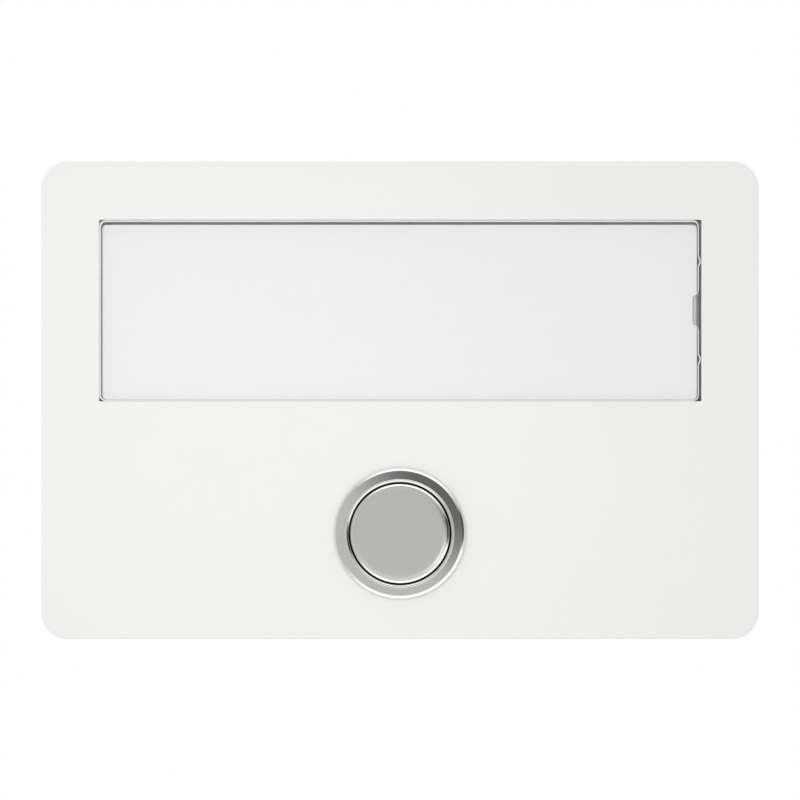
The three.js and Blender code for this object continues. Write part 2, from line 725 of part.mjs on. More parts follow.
/** A bent brass strip: contact tip in front of the carrier's floor, terminal tag behind it. */
function fixedContact(side) {
  const { x, width, tip, sheet, reach } = CONTACT;
  const tagFront = SWITCH.back - FIT;
  const tagBack = tagFront - sheet;
  const inner = x - sheet / 2;
  const outer = x + sheet / 2;
  const profile = polygon([
    [inner - 0.6, tip],
    [inner - 0.6, tip - 0.7],
    [inner, tip - 0.7],
    [inner, tagBack],
    [reach, tagBack],
    [reach, tagFront],
    [outer, tagFront],
    [outer, tip - 0.7],
    [outer + 0.3, tip - 0.7],
    [outer + 0.3, tip],
  ]);
  // The profile is drawn as (x, z), so its own Y axis turns to Z, and its depth to -Y.
  const strip = slab(profile, -width / 2, width / 2).rotateX(Math.PI / 2);
  const hole = rod(TERMINAL.shank + 0.05, tagBack - THROUGH, tagFront + THROUGH / 2, TERMINAL.x, 0);
  const tag = join(strip, block(5.4, -1.9, tagBack, reach, 1.9, tagFront));
  const contact = cut(tag, hole);
  return side > 0 ? contact : contact.rotateZ(Math.PI);
}

/** The moving contact: a brass bar on the stem's tail that joins the two fixed contacts. */
function contactBridge() {
  const { length, width, front, thickness } = BRIDGE;
  const outline = roundedRectangle(length, width, 0.8);
  outline.holes.push(regular(STEM.tail + 0.15));
  return slab(outline, front - thickness, front);
}

function terminalWasher() {
  const front = SWITCH.back - CONTACT.sheet - 2 * FIT;
  const outline = roundedRectangle(TERMINAL.washer, TERMINAL.washer, 0.5, 0, 0);
  outline.holes.push(regular(TERMINAL.hole));
  return slab(outline, front - 0.8, front);
}

/** A slotted terminal screw that clamps a bell wire under its washer. Its head faces the wall. */
function terminalScrew() {
  const seat = SWITCH.back - CONTACT.sheet - 0.8 - 3 * FIT;
  const headBack = seat - TERMINAL.headHeight;
  const tip = SWITCH.back + 2.5;
  const screw = turned([
    [0, headBack],
    [TERMINAL.head - 0.4, headBack],
    [TERMINAL.head, headBack + 0.4],
    [TERMINAL.head, seat],
    [TERMINAL.shank, seat],
    [TERMINAL.shank, tip],
    [0, tip],
  ], SMALL_ROUND);
  const long = TERMINAL.head + THROUGH;
  return cut(screw, block(-0.35, -long, headBack - THROUGH, 0.35, long, headBack + 0.8));
}

function buttonUnit() {
  const group = new THREE.Group();
  group.position.set(0, BUTTON_Y, PLATE.frontZ);
  part(group, 'button_housing', buttonHousing(), MATERIALS.polishedSteel);
  part(group, 'button_cap', buttonCap(), MATERIALS.brushedSteel);
  const flangeSeal = tube(FLANGE_SEAL.inner, FLANGE_SEAL.outer, FIT, FLANGE_SEAL.front, ROUND);
  part(group, 'flange_seal', flangeSeal, MATERIALS.rubber);
  part(group, 'lock_washer', lockWasher(), MATERIALS.zincSteel);
  part(group, 'lock_nut', lockNut(), MATERIALS.zincSteel);
  part(group, 'plunger', plunger(), MATERIALS.stemPlastic);
  const sealInner = STEM.groove + FIT;
  const stemSeal = tube(sealInner, STEM_SEAL.outer, STEM_SEAL.back, STEM_SEAL.front, MIDDLE_ROUND);
  part(group, 'stem_seal', stemSeal, MATERIALS.rubber);
  part(group, 'retaining_clip', retainingClip(), MATERIALS.springSteel);
  const returnSpring = coilSpring(RETURN_SPRING, GUIDE.front + FIT, CAP.back - FIT);
  part(group, 'return_spring', returnSpring, MATERIALS.springSteel);
  const contactSpring = coilSpring(CONTACT_SPRING, BRIDGE.front + FIT, STEM.shoulder - FIT);
  part(group, 'contact_spring', contactSpring, MATERIALS.springSteel);
  part(group, 'contact_bridge', contactBridge(), MATERIALS.brass);
  part(group, 'switch_base', switchBase(), MATERIALS.switchPlastic);
  for (const [name, side] of Object.entries(SIDES)) {
    part(group, `fixed_contact_${name}`, fixedContact(side), MATERIALS.brass);
    const washer = part(group, `terminal_washer_${name}`, terminalWasher(), MATERIALS.zincSteel);
    const screw = part(group, `terminal_screw_${name}`, terminalScrew(), MATERIALS.zincSteel);
    washer.position.x = side * TERMINAL.x;
    screw.position.x = side * TERMINAL.x;
  }
  return group;
}

// ---------------------------------------------------------------- assembly

const doorbell = new THREE.Group();
doorbell.rotation.x = Math.PI / 2;
doorbell.add(wallUnit(), faceUnit(), buttonUnit());

export default doorbell;
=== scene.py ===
"""The looks of a wall-mounted doorbell push: a white powder-coated plate with a clear-covered name
plate and a steel push button, on a moulded wall base.

Shapes are drawn in millimetres as (x, up, forward): x to the viewer's right, up, and forward from
the wall towards the viewer. to_row() turns them into the row frame, in metres, where +Z is up and the
front faces -Y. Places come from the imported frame's boxes.
"""

import json
import math

import bmesh
import bpy
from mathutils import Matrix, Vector


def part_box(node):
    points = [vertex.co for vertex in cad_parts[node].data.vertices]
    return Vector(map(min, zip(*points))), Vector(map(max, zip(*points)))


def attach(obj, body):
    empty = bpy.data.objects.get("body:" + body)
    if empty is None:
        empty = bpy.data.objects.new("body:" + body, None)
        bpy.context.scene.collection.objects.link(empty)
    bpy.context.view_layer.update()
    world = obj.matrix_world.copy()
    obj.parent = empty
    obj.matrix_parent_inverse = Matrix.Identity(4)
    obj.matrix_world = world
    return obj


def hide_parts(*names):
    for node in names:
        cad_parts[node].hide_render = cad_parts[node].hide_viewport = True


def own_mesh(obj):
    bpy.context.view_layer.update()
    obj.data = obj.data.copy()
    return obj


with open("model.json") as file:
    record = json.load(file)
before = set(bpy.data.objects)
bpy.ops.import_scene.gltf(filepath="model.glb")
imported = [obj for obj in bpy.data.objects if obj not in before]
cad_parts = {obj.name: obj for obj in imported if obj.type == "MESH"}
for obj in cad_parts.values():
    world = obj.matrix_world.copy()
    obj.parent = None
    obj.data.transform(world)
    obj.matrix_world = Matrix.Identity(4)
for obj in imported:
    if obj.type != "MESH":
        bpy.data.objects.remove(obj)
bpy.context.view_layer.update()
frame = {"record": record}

MM = 0.001
SIDES = 128  # round pieces that show
INNER_SIDES = 64  # round pieces inside
CREASE = math.radians(32)  # edges sharper than this stay sharp

RECORD = frame["record"]
BODY_OF = {node: body for body, nodes in RECORD["behaviour"]["bodies"].items() for node in nodes}
SLOT_OF = {part["node"]: part["material_slot"] for part in RECORD["subparts"]}
PAIR = {"left": -1, "right": 1}
ROWS = {"lower": -1, "upper": 1}


def to_row(x, up, forward):
    return Vector((x, -forward, up)) * MM


def extent(node):
    """A CAD node's lowest and highest (x, up, forward), in millimetres."""
    low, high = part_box(node)
    return Vector((low.x, low.z, -high.y)) / MM, Vector((high.x, high.z, -low.y)) / MM


def placed(node):
    """A node's lowest and highest places, and the x and up of its middle."""
    low, high = extent(node)
    return low, high, (low.x + high.x) / 2, (low.y + high.y) / 2


def middle(node):
    """The x and up of a node's middle."""
    return placed(node)[2:]


PLATE_LOW, PLATE_HIGH = extent("face_plate")
PLATE_FRONT = PLATE_HIGH.z
PLATE_BACK = PLATE_LOW.z
BUTTON_UP = middle("button_cap")[1]

# ------------------------ outlines


def arc(x, up, radius, start, end, steps):
    """Points along an arc, with its angles in degrees."""
    angles = [math.radians(start + (end - start) * i / steps) for i in range(steps + 1)]
    return [(x + radius * math.cos(a), up + radius * math.sin(a)) for a in angles]


def circle(radius, sides=SIDES, x=0.0, up=0.0):
    return arc(x, up, radius, 0, 360, sides)[:-1]


def rounded(left, bottom, right, top, radius, steps=6):
    """A rectangle with round corners, counter-clockwise."""
    return [
        *arc(right - radius, bottom + radius, radius, -90, 0, steps),
        *arc(right - radius, top - radius, radius, 0, 90, steps),
        *arc(left + radius, top - radius, radius, 90, 180, steps),
        *arc(left + radius, bottom + radius, radius, 180, 270, steps),
    ]


def without_repeats(outline):
    """An outline without points that lie on the one before."""
    kept = []
    for point in outline:
        if not kept or math.dist(point, kept[-1]) > 1e-4:
            kept.append(point)
    return kept if math.dist(kept[0], kept[-1]) > 1e-4 else kept[:-1]


def inset(outline, distance):
    """A counter-clockwise outline moved inwards, or outwards if distance is negative."""
    moved = []
    for before, here, after in zip(outline[-1:] + outline[:-1], outline, outline[1:] + outline[:1]):
        into = (Vector(here) - Vector(before)).normalized()
        out = (Vector(after) - Vector(here)).normalized()
        side = into.orthogonal() + out.orthogonal()
        turn = 1 + into.dot(out)
        moved.append(tuple(Vector(here) + side * (distance / max(turn, 0.1))))
    return moved


def quarter_round(radius, steps):
    """(inset, depth) over a rounded edge, from the flat face to the side."""
    if radius == 0:
        return [(0.0, 0.0)]
    angles = [math.pi / 2 * i / steps for i in range(steps + 1)]
    return [(radius * (1 - math.sin(a)), radius * (1 - math.cos(a))) for a in angles]


def thread(radius, start, end, pitch, depth):
    """A turned outline's ridges between two places along its axis."""
    count = max(1, round(abs(end - start) / pitch))
    step = (end - start) / count
    ridges = [(radius - depth, start)]
    for i in range(count):
        ridges.append((radius, start + step * (i + 0.5)))
        ridges.append((radius - depth, start + step * (i + 1)))
    return ridges


# ------------------------ meshes


def ring_of(bm, outline, forward):
    return [bm.verts.new(to_row(x, up, forward)) for x, up in outline]


def bridge(bm, one, two):
    """Faces between two rings; a ring of one vertex is a point on the axis."""
    count = max(len(one), len(two))
    for i in range(count):
        j = i + 1
        corners = [one[i % len(one)], one[j % len(one)], two[j % len(two)], two[i % len(two)]]
        bm.faces.new(list(dict.fromkeys(corners)))


def cap(bm, rings):
    """A flat face inside the first ring, with the other rings as holes."""
    if len(rings) == 1:
        bm.faces.new(rings[0])
        return
    edges = [bm.edges.get(pair) for ring in rings for pair in zip(ring, ring[1:] + ring[:1])]
    bmesh.ops.triangle_fill(bm, use_beauty=True, use_dissolve=False, edges=edges, normal=(0, -1, 0))


def slab(outer, back, front, holes=(), edge=0.15, hole_edge=0.1, steps=3):
    """A flat piece between two depths, with round edges and round-edged holes."""
    bm = bmesh.new()
    ends = []
    for outline, radius, side in [(outer, edge, 1), *((hole, hole_edge, -1) for hole in holes)]:
        outline = without_repeats(outline)
        edges = quarter_round(radius, steps)
        stations = [(amount, front - depth) for amount, depth in edges]
        stations += [(amount, back + depth) for amount, depth in reversed(edges)]
        rings = [ring_of(bm, inset(outline, side * amount), forward) for amount, forward in stations]
        for one, two in zip(rings, rings[1:]):
            bridge(bm, one, two)
        ends.append((rings[0], rings[-1]))
    cap(bm, [first for first, last in ends])
    cap(bm, [last for first, last in ends])
    return bm


def turned(outline, sides=INNER_SIDES, x=0.0, up=0.0):
    """A body turned about a forward axis from a closed outline of (radius, forward)."""
    bm = bmesh.new()
    rings = []
    for radius, forward in outline:
        points = circle(radius, sides, x, up) if radius else [(x, up)]
        rings.append(ring_of(bm, points, forward))
    for one, two in zip(rings, rings[1:] + rings[:1]):
        if len(one) > 1 or len(two) > 1:
            bridge(bm, one, two)
    return bm


def rod(radius, back, front, x=0.0, up=0.0, sides=INNER_SIDES):
    return turned([(0, back), (radius, back), (radius, front), (0, front)], sides, x, up)


def block(low, high):
    """A box between two corners (x, up, forward)."""
    outline = [(low[0], low[1]), (high[0], low[1]), (high[0], high[1]), (low[0], high[1])]
    return slab(outline, low[2], high[2], edge=0)


def bar(profile, start, end, place):
    """A bar along a straight line; place puts a profile point and a distance at (x, up, forward)."""
    bm = bmesh.new()
    profile = without_repeats(profile)
    ends = [[bm.verts.new(to_row(*place(a, b, along))) for a, b in profile] for along in (start, end)]
    bridge(bm, *ends)
    for ring in ends:
        bm.faces.new(ring)
    return bm


def coil(radius, wire, turns, back, front, up, steps_per_turn=36, sides=10):
    """A compression spring about a forward axis, with its end turns closed."""
    bm = bmesh.new()
    steps = round(turns * steps_per_turn)
    closed = 0.6 / turns
    rings = []
    for i in range(steps + 1):
        t = i / steps
        angle = t * turns * math.tau
        rise = min(max((t - closed) / (1 - 2 * closed), 0), 1)
        forward = back + wire + (front - back - 2 * wire) * rise
        ring = []
        for j in range(sides):
            around = math.tau * j / sides
            reach = radius + wire * math.cos(around)
            x, y = reach * math.cos(angle), reach * math.sin(angle)
            ring.append(bm.verts.new(to_row(x, up + y, forward + wire * math.sin(around))))
        rings.append(ring)
    for one, two in zip(rings, rings[1:]):
        bridge(bm, one, two)
    bm.faces.new(rings[0])
    bm.faces.new(rings[-1])
    return bm


def scratch_object(bm):
    bmesh.ops.recalc_face_normals(bm, faces=bm.faces)
    mesh = bpy.data.meshes.new("scratch")
    bm.to_mesh(mesh)
    bm.free()
    made = bpy.data.objects.new("scratch", mesh)
    bpy.context.scene.collection.objects.link(made)
    return made


def combine(operation, base, *others):
    """The base with others cut away (DIFFERENCE), joined on (UNION) or kept in common (INTERSECT)."""
    target = scratch_object(base)
    tools = [scratch_object(other) for other in others]
    for tool in tools:
        modifier = target.modifiers.new("combine", "BOOLEAN")
        modifier.operation = operation
        modifier.solver = "EXACT"
        modifier.object = tool
    result = bmesh.new()
    result.from_object(target, bpy.context.evaluated_depsgraph_get())
    for made in [target, *tools]:
        mesh = made.data
        bpy.data.objects.remove(made)
        bpy.data.meshes.remove(mesh)
    bmesh.ops.remove_doubles(result, verts=result.verts, dist=1e-7)
    bmesh.ops.dissolve_degenerate(result, edges=result.edges, dist=1e-6)
    open_edges = [edge for edge in result.edges if len(edge.link_faces) == 1]
    bmesh.ops.holes_fill(result, edges=open_edges, sides=0)
    return result


def cut(base, *others):
    return combine("DIFFERENCE", base, *others)


def join(base, *others):
    return combine("UNION", base, *others)


def soften(bm, width=0.12, segments=2):
    """Rounds every sharp edge a little."""
    bmesh.ops.recalc_face_normals(bm, faces=bm.faces)
    bmesh.ops.dissolve_limit(bm, angle_limit=math.radians(1), verts=bm.verts, edges=bm.edges)
    sharp = [e for e in bm.edges if len(e.link_faces) == 2 and e.calc_face_angle() > CREASE]
    bmesh.ops.bevel(
        bm,
        geom=sharp,
        offset=width * MM,
        segments=segments,
        profile=0.5,
        affect="EDGES",
        clamp_overlap=True,
    )
    bmesh.ops.delete(bm, geom=[edge for edge in bm.edges if not edge.link_faces], context="EDGES")
    return bm


def stand_for(node, bm, *more_looks):
    """Makes the piece that stands for a CAD node, on the node's body and in its material slot."""
    bmesh.ops.recalc_face_normals(bm, faces=bm.faces)
    mesh = bpy.data.meshes.new(node + "_detailed")
    bm.to_mesh(mesh)
    bm.free()
    mesh.shade_smooth()
    mesh.set_sharp_from_angle(angle=CREASE)
    mesh.materials.append(LOOKS[SLOT_OF[node]])
    for look in more_looks:
        mesh.materials.append(look)
    piece = bpy.data.objects.new(node + "_detailed", mesh)
    bpy.context.scene.collection.objects.link(piece)
    normals = piece.modifiers.new("even shading", "WEIGHTED_NORMAL")
    normals.keep_sharp = True
    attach(piece, BODY_OF[node])
    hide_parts(node)
    return piece


# ------------------------ materials


class Look:
    """A Principled material whose patterns lie in the piece's own coordinates."""

    def __init__(self, name, colour, roughness, metallic=0.0, **sockets):
        self.material = bpy.data.materials.new(name)
        self.material.use_nodes = True
        self.tree = self.material.node_tree
        self.shader = self.tree.nodes["Principled BSDF"]
        self.place = self.tree.nodes.new("ShaderNodeTexCoord").outputs["Object"]
        self.shader.inputs["Base Color"].default_value = (*colour, 1)
        self.shader.inputs["Roughness"].default_value = roughness
        self.shader.inputs["Metallic"].default_value = metallic
        for socket, value in sockets.items():
            self.shader.inputs[socket.replace("_", " ")].default_value = value

    def node(self, kind, inputs=(), **settings):
        made = self.tree.nodes.new(kind)
        for key, value in settings.items():
            setattr(made, key, value)
        for key, value in dict(inputs).items():
            if isinstance(value, bpy.types.NodeSocket):
                self.tree.links.new(value, made.inputs[key])
            else:
                made.inputs[key].default_value = value
        return made

    def noise(self, size, detail=2.0, stretch=(1, 1, 1)):
        """Noise whose grains are about size millimetres."""
        spread = self.node("ShaderNodeMapping", {"Vector": self.place, "Scale": stretch})
        inputs = {"Vector": spread.outputs["Vector"], "Scale": 1 / (size * MM), "Detail": detail}
        return self.node("ShaderNodeTexNoise", inputs).outputs["Fac"]

    def rings(self, spacing, x, up, distortion=0.4):
        """Fine turning marks about a forward axis."""
        centre = -to_row(x, up, 0)
        moved = self.node("ShaderNodeMapping", {"Vector": self.place, "Location": centre})
        inputs = {
            "Vector": moved.outputs["Vector"],
            "Scale": 1 / (spacing * MM) / 20,
            "Distortion": distortion,
            "Detail": 2.0,
            "Detail Scale": 3.0,
        }
        wave = self.node("ShaderNodeTexWave", inputs, wave_type="RINGS", rings_direction="Y")
        return wave.outputs["Fac"]

    def ranged(self, source, low, high):
        inputs = {"Value": source, "To Min": low, "To Max": high}
        return self.node("ShaderNodeMapRange", inputs).outputs["Result"]

    def rough(self, source, low, high):
        self.tree.links.new(self.ranged(source, low, high), self.shader.inputs["Roughness"])

    def tint(self, source, one, two):
        """Varies the colour between two near tones."""
        mix = self.node("ShaderNodeMix", {0: source}, data_type="RGBA")
        near, far = [socket for socket in mix.inputs if socket.type == "RGBA"]
        near.default_value = (*one, 1)
        far.default_value = (*two, 1)
        result = next(socket for socket in mix.outputs if socket.type == "RGBA")
        self.tree.links.new(result, self.shader.inputs["Base Color"])

    def bump(self, *layers):
        """Relief from (source, depth in millimetres) pairs."""
        normal = None
        for source, depth in layers:
            inputs = {"Height": source, "Distance": depth * MM, "Strength": 1.0}
            if normal:
                inputs["Normal"] = normal
            normal = self.node("ShaderNodeBump", inputs).outputs["Normal"]
        self.tree.links.new(normal, self.shader.inputs["Normal"])


def powder_coat():
    look = Look("white powder coat", (0.80, 0.80, 0.785), 0.42)
    look.tint(look.noise(9, 3), (0.795, 0.795, 0.78), (0.81, 0.81, 0.797))
    look.rough(look.noise(0.6), 0.36, 0.5)
    look.bump((look.noise(1.1, 1), 0.006), (look.noise(0.25, 2), 0.0015))
    return look.material


def moulded(name, one, two, grain, low, high):
    """A moulded plastic with a spark-eroded grain."""
    look = Look(name, one, (low + high) / 2)
    look.tint(look.noise(4, 3), one, two)
    look.rough(look.noise(grain * 3), low, high)
    look.bump((look.noise(grain, 2), 0.01), (look.noise(12, 1), 0.02))
    return look.material


def clear_plastic():
    look = Look("clear moulded plastic", (1.0, 1.0, 1.0), 0.0, IOR=1.49, Transmission_Weight=1.0)
    look.bump((look.noise(14, 1), 0.004))
    return look.material


def painted_glow_edge():
    """The sides of the clear moulding, given a near-white, mostly diffuse tone: a painted glow that stands
    in for the light that clear edges pipe.
    """
    look = Look("clear plastic edge, painted glow", (0.93, 0.93, 0.93), 0.3, IOR=1.49, Transmission_Weight=0.25)
    look.rough(look.noise(0.5), 0.25, 0.4)
    return look.material


def label_card():
    look = Look("white card", (0.785, 0.785, 0.79), 0.85)
    look.tint(look.noise(0.35, 4), (0.778, 0.778, 0.783), (0.788, 0.788, 0.791))
    look.rough(look.noise(0.3), 0.8, 0.95)
    look.bump((look.noise(0.12, 3, (1, 1, 3)), 0.003))
    return look.material


def turned_steel(name, colour, low, high, marks, depth):
    """Stainless steel with turning marks about the button's axis."""
    look = Look(name, colour, (low + high) / 2, 1.0)
    ring_marks = look.rings(marks, 0, BUTTON_UP)
    look.tint(look.noise(6, 2), colour, tuple(c * 0.985 for c in colour))
    look.rough(look.noise(2, 2), low, high)
    look.bump((ring_marks, depth), (look.noise(0.1, 1), depth / 8))
    return look.material


def painted_gap_shade():
    """Painted shade for the sides of the gap round the cap: near-black rough steel that stands in for the
    shadow deep in the narrow gap.
    """
    look = Look("steel with painted gap shade", (0.02, 0.02, 0.02), 0.6)
    look.rough(look.noise(0.4), 0.5, 0.7)
    look.bump((look.noise(0.15, 2), 0.002))
    return look.material


def plated_steel(name, one, two, low, high):
    look = Look(name, one, (low + high) / 2, 1.0)
    look.tint(look.noise(1.5, 3), one, two)
    look.rough(look.noise(0.5, 3), low, high)
    look.bump((look.noise(0.2, 2), 0.003))
    return look.material


def rubber(name, colour, grain):
    look = Look(name, colour, 0.8)
    look.tint(look.noise(1.2, 3), colour, tuple(c * 1.5 for c in colour))
    look.rough(look.noise(grain * 2), 0.7, 0.92)
    look.bump((look.noise(grain, 3), 0.02))
    return look.material


LOOKS = {
    "powder_coat": powder_coat(),
    "base_plastic": moulded("base plastic", (0.62, 0.63, 0.62), (0.65, 0.66, 0.65), 0.25, 0.45, 0.62),
    "tray_plastic": moulded("tray plastic", (0.535, 0.53, 0.52), (0.565, 0.56, 0.55), 0.2, 0.4, 0.55),
    "switch_plastic": moulded("switch plastic", (0.012, 0.012, 0.014), (0.02, 0.02, 0.022), 0.15, 0.35, 0.5),
    "stem_plastic": moulded("stem plastic", (0.72, 0.70, 0.63), (0.76, 0.74, 0.68), 0.15, 0.25, 0.4),
    "clear_cover": clear_plastic(),
    "label_card": label_card(),
    "polished_steel": turned_steel("polished steel", (0.82, 0.812, 0.80), 0.08, 0.12, 0.05, 0.0001),
    "brushed_steel": turned_steel("brushed steel", (0.725, 0.72, 0.71), 0.2, 0.24, 0.08, 0.0002),
    "zinc_steel": plated_steel("zinc-plated steel", (0.52, 0.55, 0.58), (0.62, 0.63, 0.62), 0.28, 0.42),
    "spring_steel": plated_steel("spring steel", (0.36, 0.36, 0.37), (0.42, 0.42, 0.42), 0.2, 0.35),
    "brass": plated_steel("brass", (0.72, 0.50, 0.19), (0.78, 0.58, 0.26), 0.18, 0.34),
    "black_rubber": rubber("black rubber", (0.018, 0.018, 0.018), 0.15),
    "foam_seal": rubber("foam seal", (0.03, 0.03, 0.032), 0.4),
}

# Painted shade: the bore and the cap's side are made near-black where the narrow gap only holds shadow.
GAP_SHADE_LOOK = painted_gap_shade()

# ------------------------ wall base

BASE_LOW, BASE_HIGH = extent("wall_base")
BASE_WALL = 2.0
BASE_FLOOR = 2.4
RELIEF_DEPTH = 0.8
RELIEF_BORDER = 4.0
RELIEF_RIB = 3.0
SLOT_LENGTH = 9.0
SLOT_WIDTH = 5.2
SLOT_X = 44.0
SLOT_UP = 26.0
SLOT_PAD = 2.6
EJECTOR = 2.5  # round marks that the mould's pins leave
EJECTOR_X, EJECTOR_UP = 13.0, 19.0
BOSS = 4.2
DRAIN_X = 18.0
THROUGH = 1.0  # how far a cutter runs past what it cuts
OVERLAP = 0.5  # how far a joined piece runs into its neighbour


def screw_slot(side_x, side_up, grow, back, front):
    """A round-ended slot, lying in the upper row and upright in the lower one."""
    long = SLOT_LENGTH / 2 + grow
    short = SLOT_WIDTH / 2 + grow
    reach_x, reach_up = (long, short) if side_up > 0 else (short, long)
    x = side_x * SLOT_X
    up = side_up * SLOT_UP
    outline = rounded(x - reach_x, up - reach_up, x + reach_x, up + reach_up, short - 0.01, 12)
    return slab(outline, back, front, edge=0)


def back_hollow(side_x, side_up):
    """A hollow in the back between its border and ribs, round the pad of one screw slot."""
    near = RELIEF_RIB / 2
    far_x = BASE_HIGH.x - RELIEF_BORDER
    far_up = BASE_HIGH.y - RELIEF_BORDER
    left, right = sorted((side_x * near, side_x * far_x))
    bottom, top = sorted((side_up * near, side_up * far_up))
    hollow = slab(rounded(left, bottom, right, top, 2, 8), -THROUGH, RELIEF_DEPTH, edge=0)
    return cut(hollow, screw_slot(side_x, side_up, SLOT_PAD, -2 * THROUGH, RELIEF_DEPTH + THROUGH))


def insert_boss(name):
    """The boss round a threaded insert, and its holes."""
    low, high, x, up = placed(f"threaded_insert_{name}")
    radius = (high.x - low.x) / 2 + 0.05
    core, core_floor = 1.8, 9
    boss = rod(BOSS, BASE_FLOOR - OVERLAP, high.z, x, up)
    return boss, rod(radius, low.z - 0.5, high.z + THROUGH, x, up), rod(core, core_floor, low.z, x, up)


def hook_ledge(side):
    """A ledge inside the lower wall, for one of the plate's hooks."""
    near, far = sorted((side * 29, side * 51))
    floor = BASE_LOW.y + BASE_WALL
    return block((near, floor - OVERLAP, 18.4), (far, floor + 1.4, 19.6))


def drain_slot(side):
    half, back, front = 4, 3, 4.6
    x = side * DRAIN_X
    top = BASE_LOW.y + BASE_WALL + THROUGH
    return block((x - half, BASE_LOW.y - THROUGH, back), (x + half, top, front))


def screw_corner(side_x, side_up):
    """What is cut away in one quarter of the floor: hollow, screw slot with its sunk face, pin mark."""
    sink = 0.6
    mark_floor = RELIEF_DEPTH + 0.12
    return [
        back_hollow(side_x, side_up),
        screw_slot(side_x, side_up, 0, -THROUGH, BASE_FLOOR + THROUGH),
        screw_slot(side_x, side_up, 1.0, BASE_FLOOR - sink, BASE_FLOOR + THROUGH),
        rod(EJECTOR, 0, mark_floor, side_x * EJECTOR_X, side_up * EJECTOR_UP, 48),
    ]


def wall_base():
    rim = BASE_HIGH.z
    left, bottom = BASE_LOW.x, BASE_LOW.y
    right, top = BASE_HIGH.x, BASE_HIGH.y
    outer = rounded(left, bottom, right, top, 3, 12)
    inner = rounded(left + BASE_WALL, bottom + BASE_WALL, right - BASE_WALL, top - BASE_WALL, 2, 8)
    shell = cut(slab(outer, 0, rim, edge=0.5, steps=4), slab(inner, BASE_FLOOR, rim + THROUGH, edge=0))
    solid, holes = [], []
    for name, side in PAIR.items():
        boss, *boss_holes = insert_boss(name)
        solid += [boss, hook_ledge(side)]
        holes += [*boss_holes, drain_slot(side)]
        for side_up in ROWS.values():
            holes += screw_corner(side, side_up)
    entry_radius = 6
    holes.append(rod(entry_radius, -THROUGH, BASE_FLOOR + THROUGH, *middle("cable_grommet")))
    stand_for("wall_base", soften(cut(join(shell, *solid), *holes), 0.12))


def cable_grommet():
    low, high, x, up = placed("cable_grommet")
    lip = (high.x - low.x) / 2
    hole, body = 3.5, 5.95
    back, inside = RELIEF_DEPTH - 0.05, BASE_FLOOR + 0.05
    lip_round = arc(lip - 0.35, low.z + 0.35, 0.35, -90, 0, 5)
    outline = [
        (hole, low.z + 0.3),
        (hole + 0.3, low.z),
        *lip_round,
        (lip, back),
        (body, back),
        (body, inside),
        (lip, inside),
        *arc(lip - 0.5, inside + 0.6, 0.5, 0, 70, 5),
        (body, inside + 1.5),
        (4.9, high.z - 0.4),
        *arc(4.4, high.z - 0.4, 0.4, 20, 90, 5),
        (hole + 0.2, high.z),
        (hole, high.z - 0.3),
    ]
    stand_for("cable_grommet", turned(outline, SIDES, x, up))


def face_gasket():
    low, high = extent("face_gasket")
    outer = rounded(low.x, low.y, high.x, high.y, 3, 12)
    width = 1.8
    inner = rounded(low.x + width, low.y + width, high.x - width, high.y - width, 1.5, 8)
    stand_for("face_gasket", slab(outer, low.z, high.z, [inner], edge=0.2, hole_edge=0.2))


def threaded_inserts():
    """Brass inserts with ridges between two plain collars."""
    for name in PAIR:
        node = f"threaded_insert_{name}"
        low, high, x, up = placed(node)
        radius = (high.x - low.x) / 2
        bore = 1.55
        grooves = thread(radius, low.z + 1.4, high.z - 1.4, 0.8, 0.25)
        outline = [
            (bore, low.z),
            (radius - 0.35, low.z),
            (radius - 0.1, low.z + 0.5),
            *grooves,
            (radius, high.z - 0.9),
            (radius, high.z - 0.1),
            (radius - 0.1, high.z),
            (bore + 0.3, high.z),
            (bore, high.z - 0.3),
        ]
        stand_for(node, turned(outline, INNER_SIDES, x, up))


# ------------------------ face plate and its fixings


PLATE_CORNER = 4.5
BUTTON_HOLE = 9.6
GAP_LEFT, GAP_RIGHT = 0.03, 0.14  # between the cover's box and the window's sides
GAP_BOTTOM, GAP_TOP = 0.02, 0.07


def face_plate():
    low, high = extent("name_cover")
    window = rounded(low.x - GAP_LEFT, low.y - GAP_BOTTOM, high.x + GAP_RIGHT, high.y + GAP_TOP, 0.2, 3)
    hole = circle(BUTTON_HOLE, SIDES, 0, BUTTON_UP)
    outer = rounded(PLATE_LOW.x, PLATE_LOW.y, PLATE_HIGH.x, PLATE_HIGH.y, PLATE_CORNER, 24)
    stand_for("face_plate", slab(outer, PLATE_BACK, PLATE_FRONT, [window, hole], 0.35, 0.08, 5))


def weld_studs_and_nuts():
    for row in ROWS:
        for side in PAIR:
            stud, nut = f"weld_stud_{row}_{side}", f"stud_nut_{row}_{side}"
            low, high, x, up = placed(stud)
            foot = high.z - 0.4
            outline = [
                (0, low.z),
                (0.7, low.z),
                *thread(1, low.z + 0.3, foot - 0.5, 0.4, 0.15),
                (0.85, foot),
                (1.2, foot),
                (1.3, foot + 0.1),
                (1.3, high.z),
                (0, high.z),
            ]
            stand_for(stud, turned(outline, 32, x, up))
            low, high = extent(nut)
            stand_for(nut, hex_nut(low, high, x, up, 4.0, 1.05, 32))


def hex_nut(low, high, x, up, across_flats, bore, sides):
    """A hexagon nut with its corners chamfered on both faces and its bore countersunk."""
    corner = across_flats / math.sqrt(3)
    flat = across_flats / 2
    drop = (corner - flat) * 0.6
    hexagon = slab(circle(corner, 6, x, up), low.z, high.z, edge=0)
    past = 0.1
    limit = [
        (0, low.z - past),
        (flat - 0.17, low.z - past),
        (corner + past, low.z + drop),
        (corner + past, high.z - drop),
        (flat - 0.17, high.z + past),
        (0, high.z + past),
    ]
    chamfer = across_flats * 0.03
    past = 0.2
    hole = [
        (0, low.z - past),
        (bore + chamfer + past, low.z - past),
        (bore, low.z + chamfer),
        (bore, high.z - chamfer),
        (bore + chamfer + past, high.z + past),
        (0, high.z + past),
    ]
    body = combine("INTERSECT", hexagon, turned(limit, sides, x, up))
    return cut(body, turned(hole, sides, x, up))


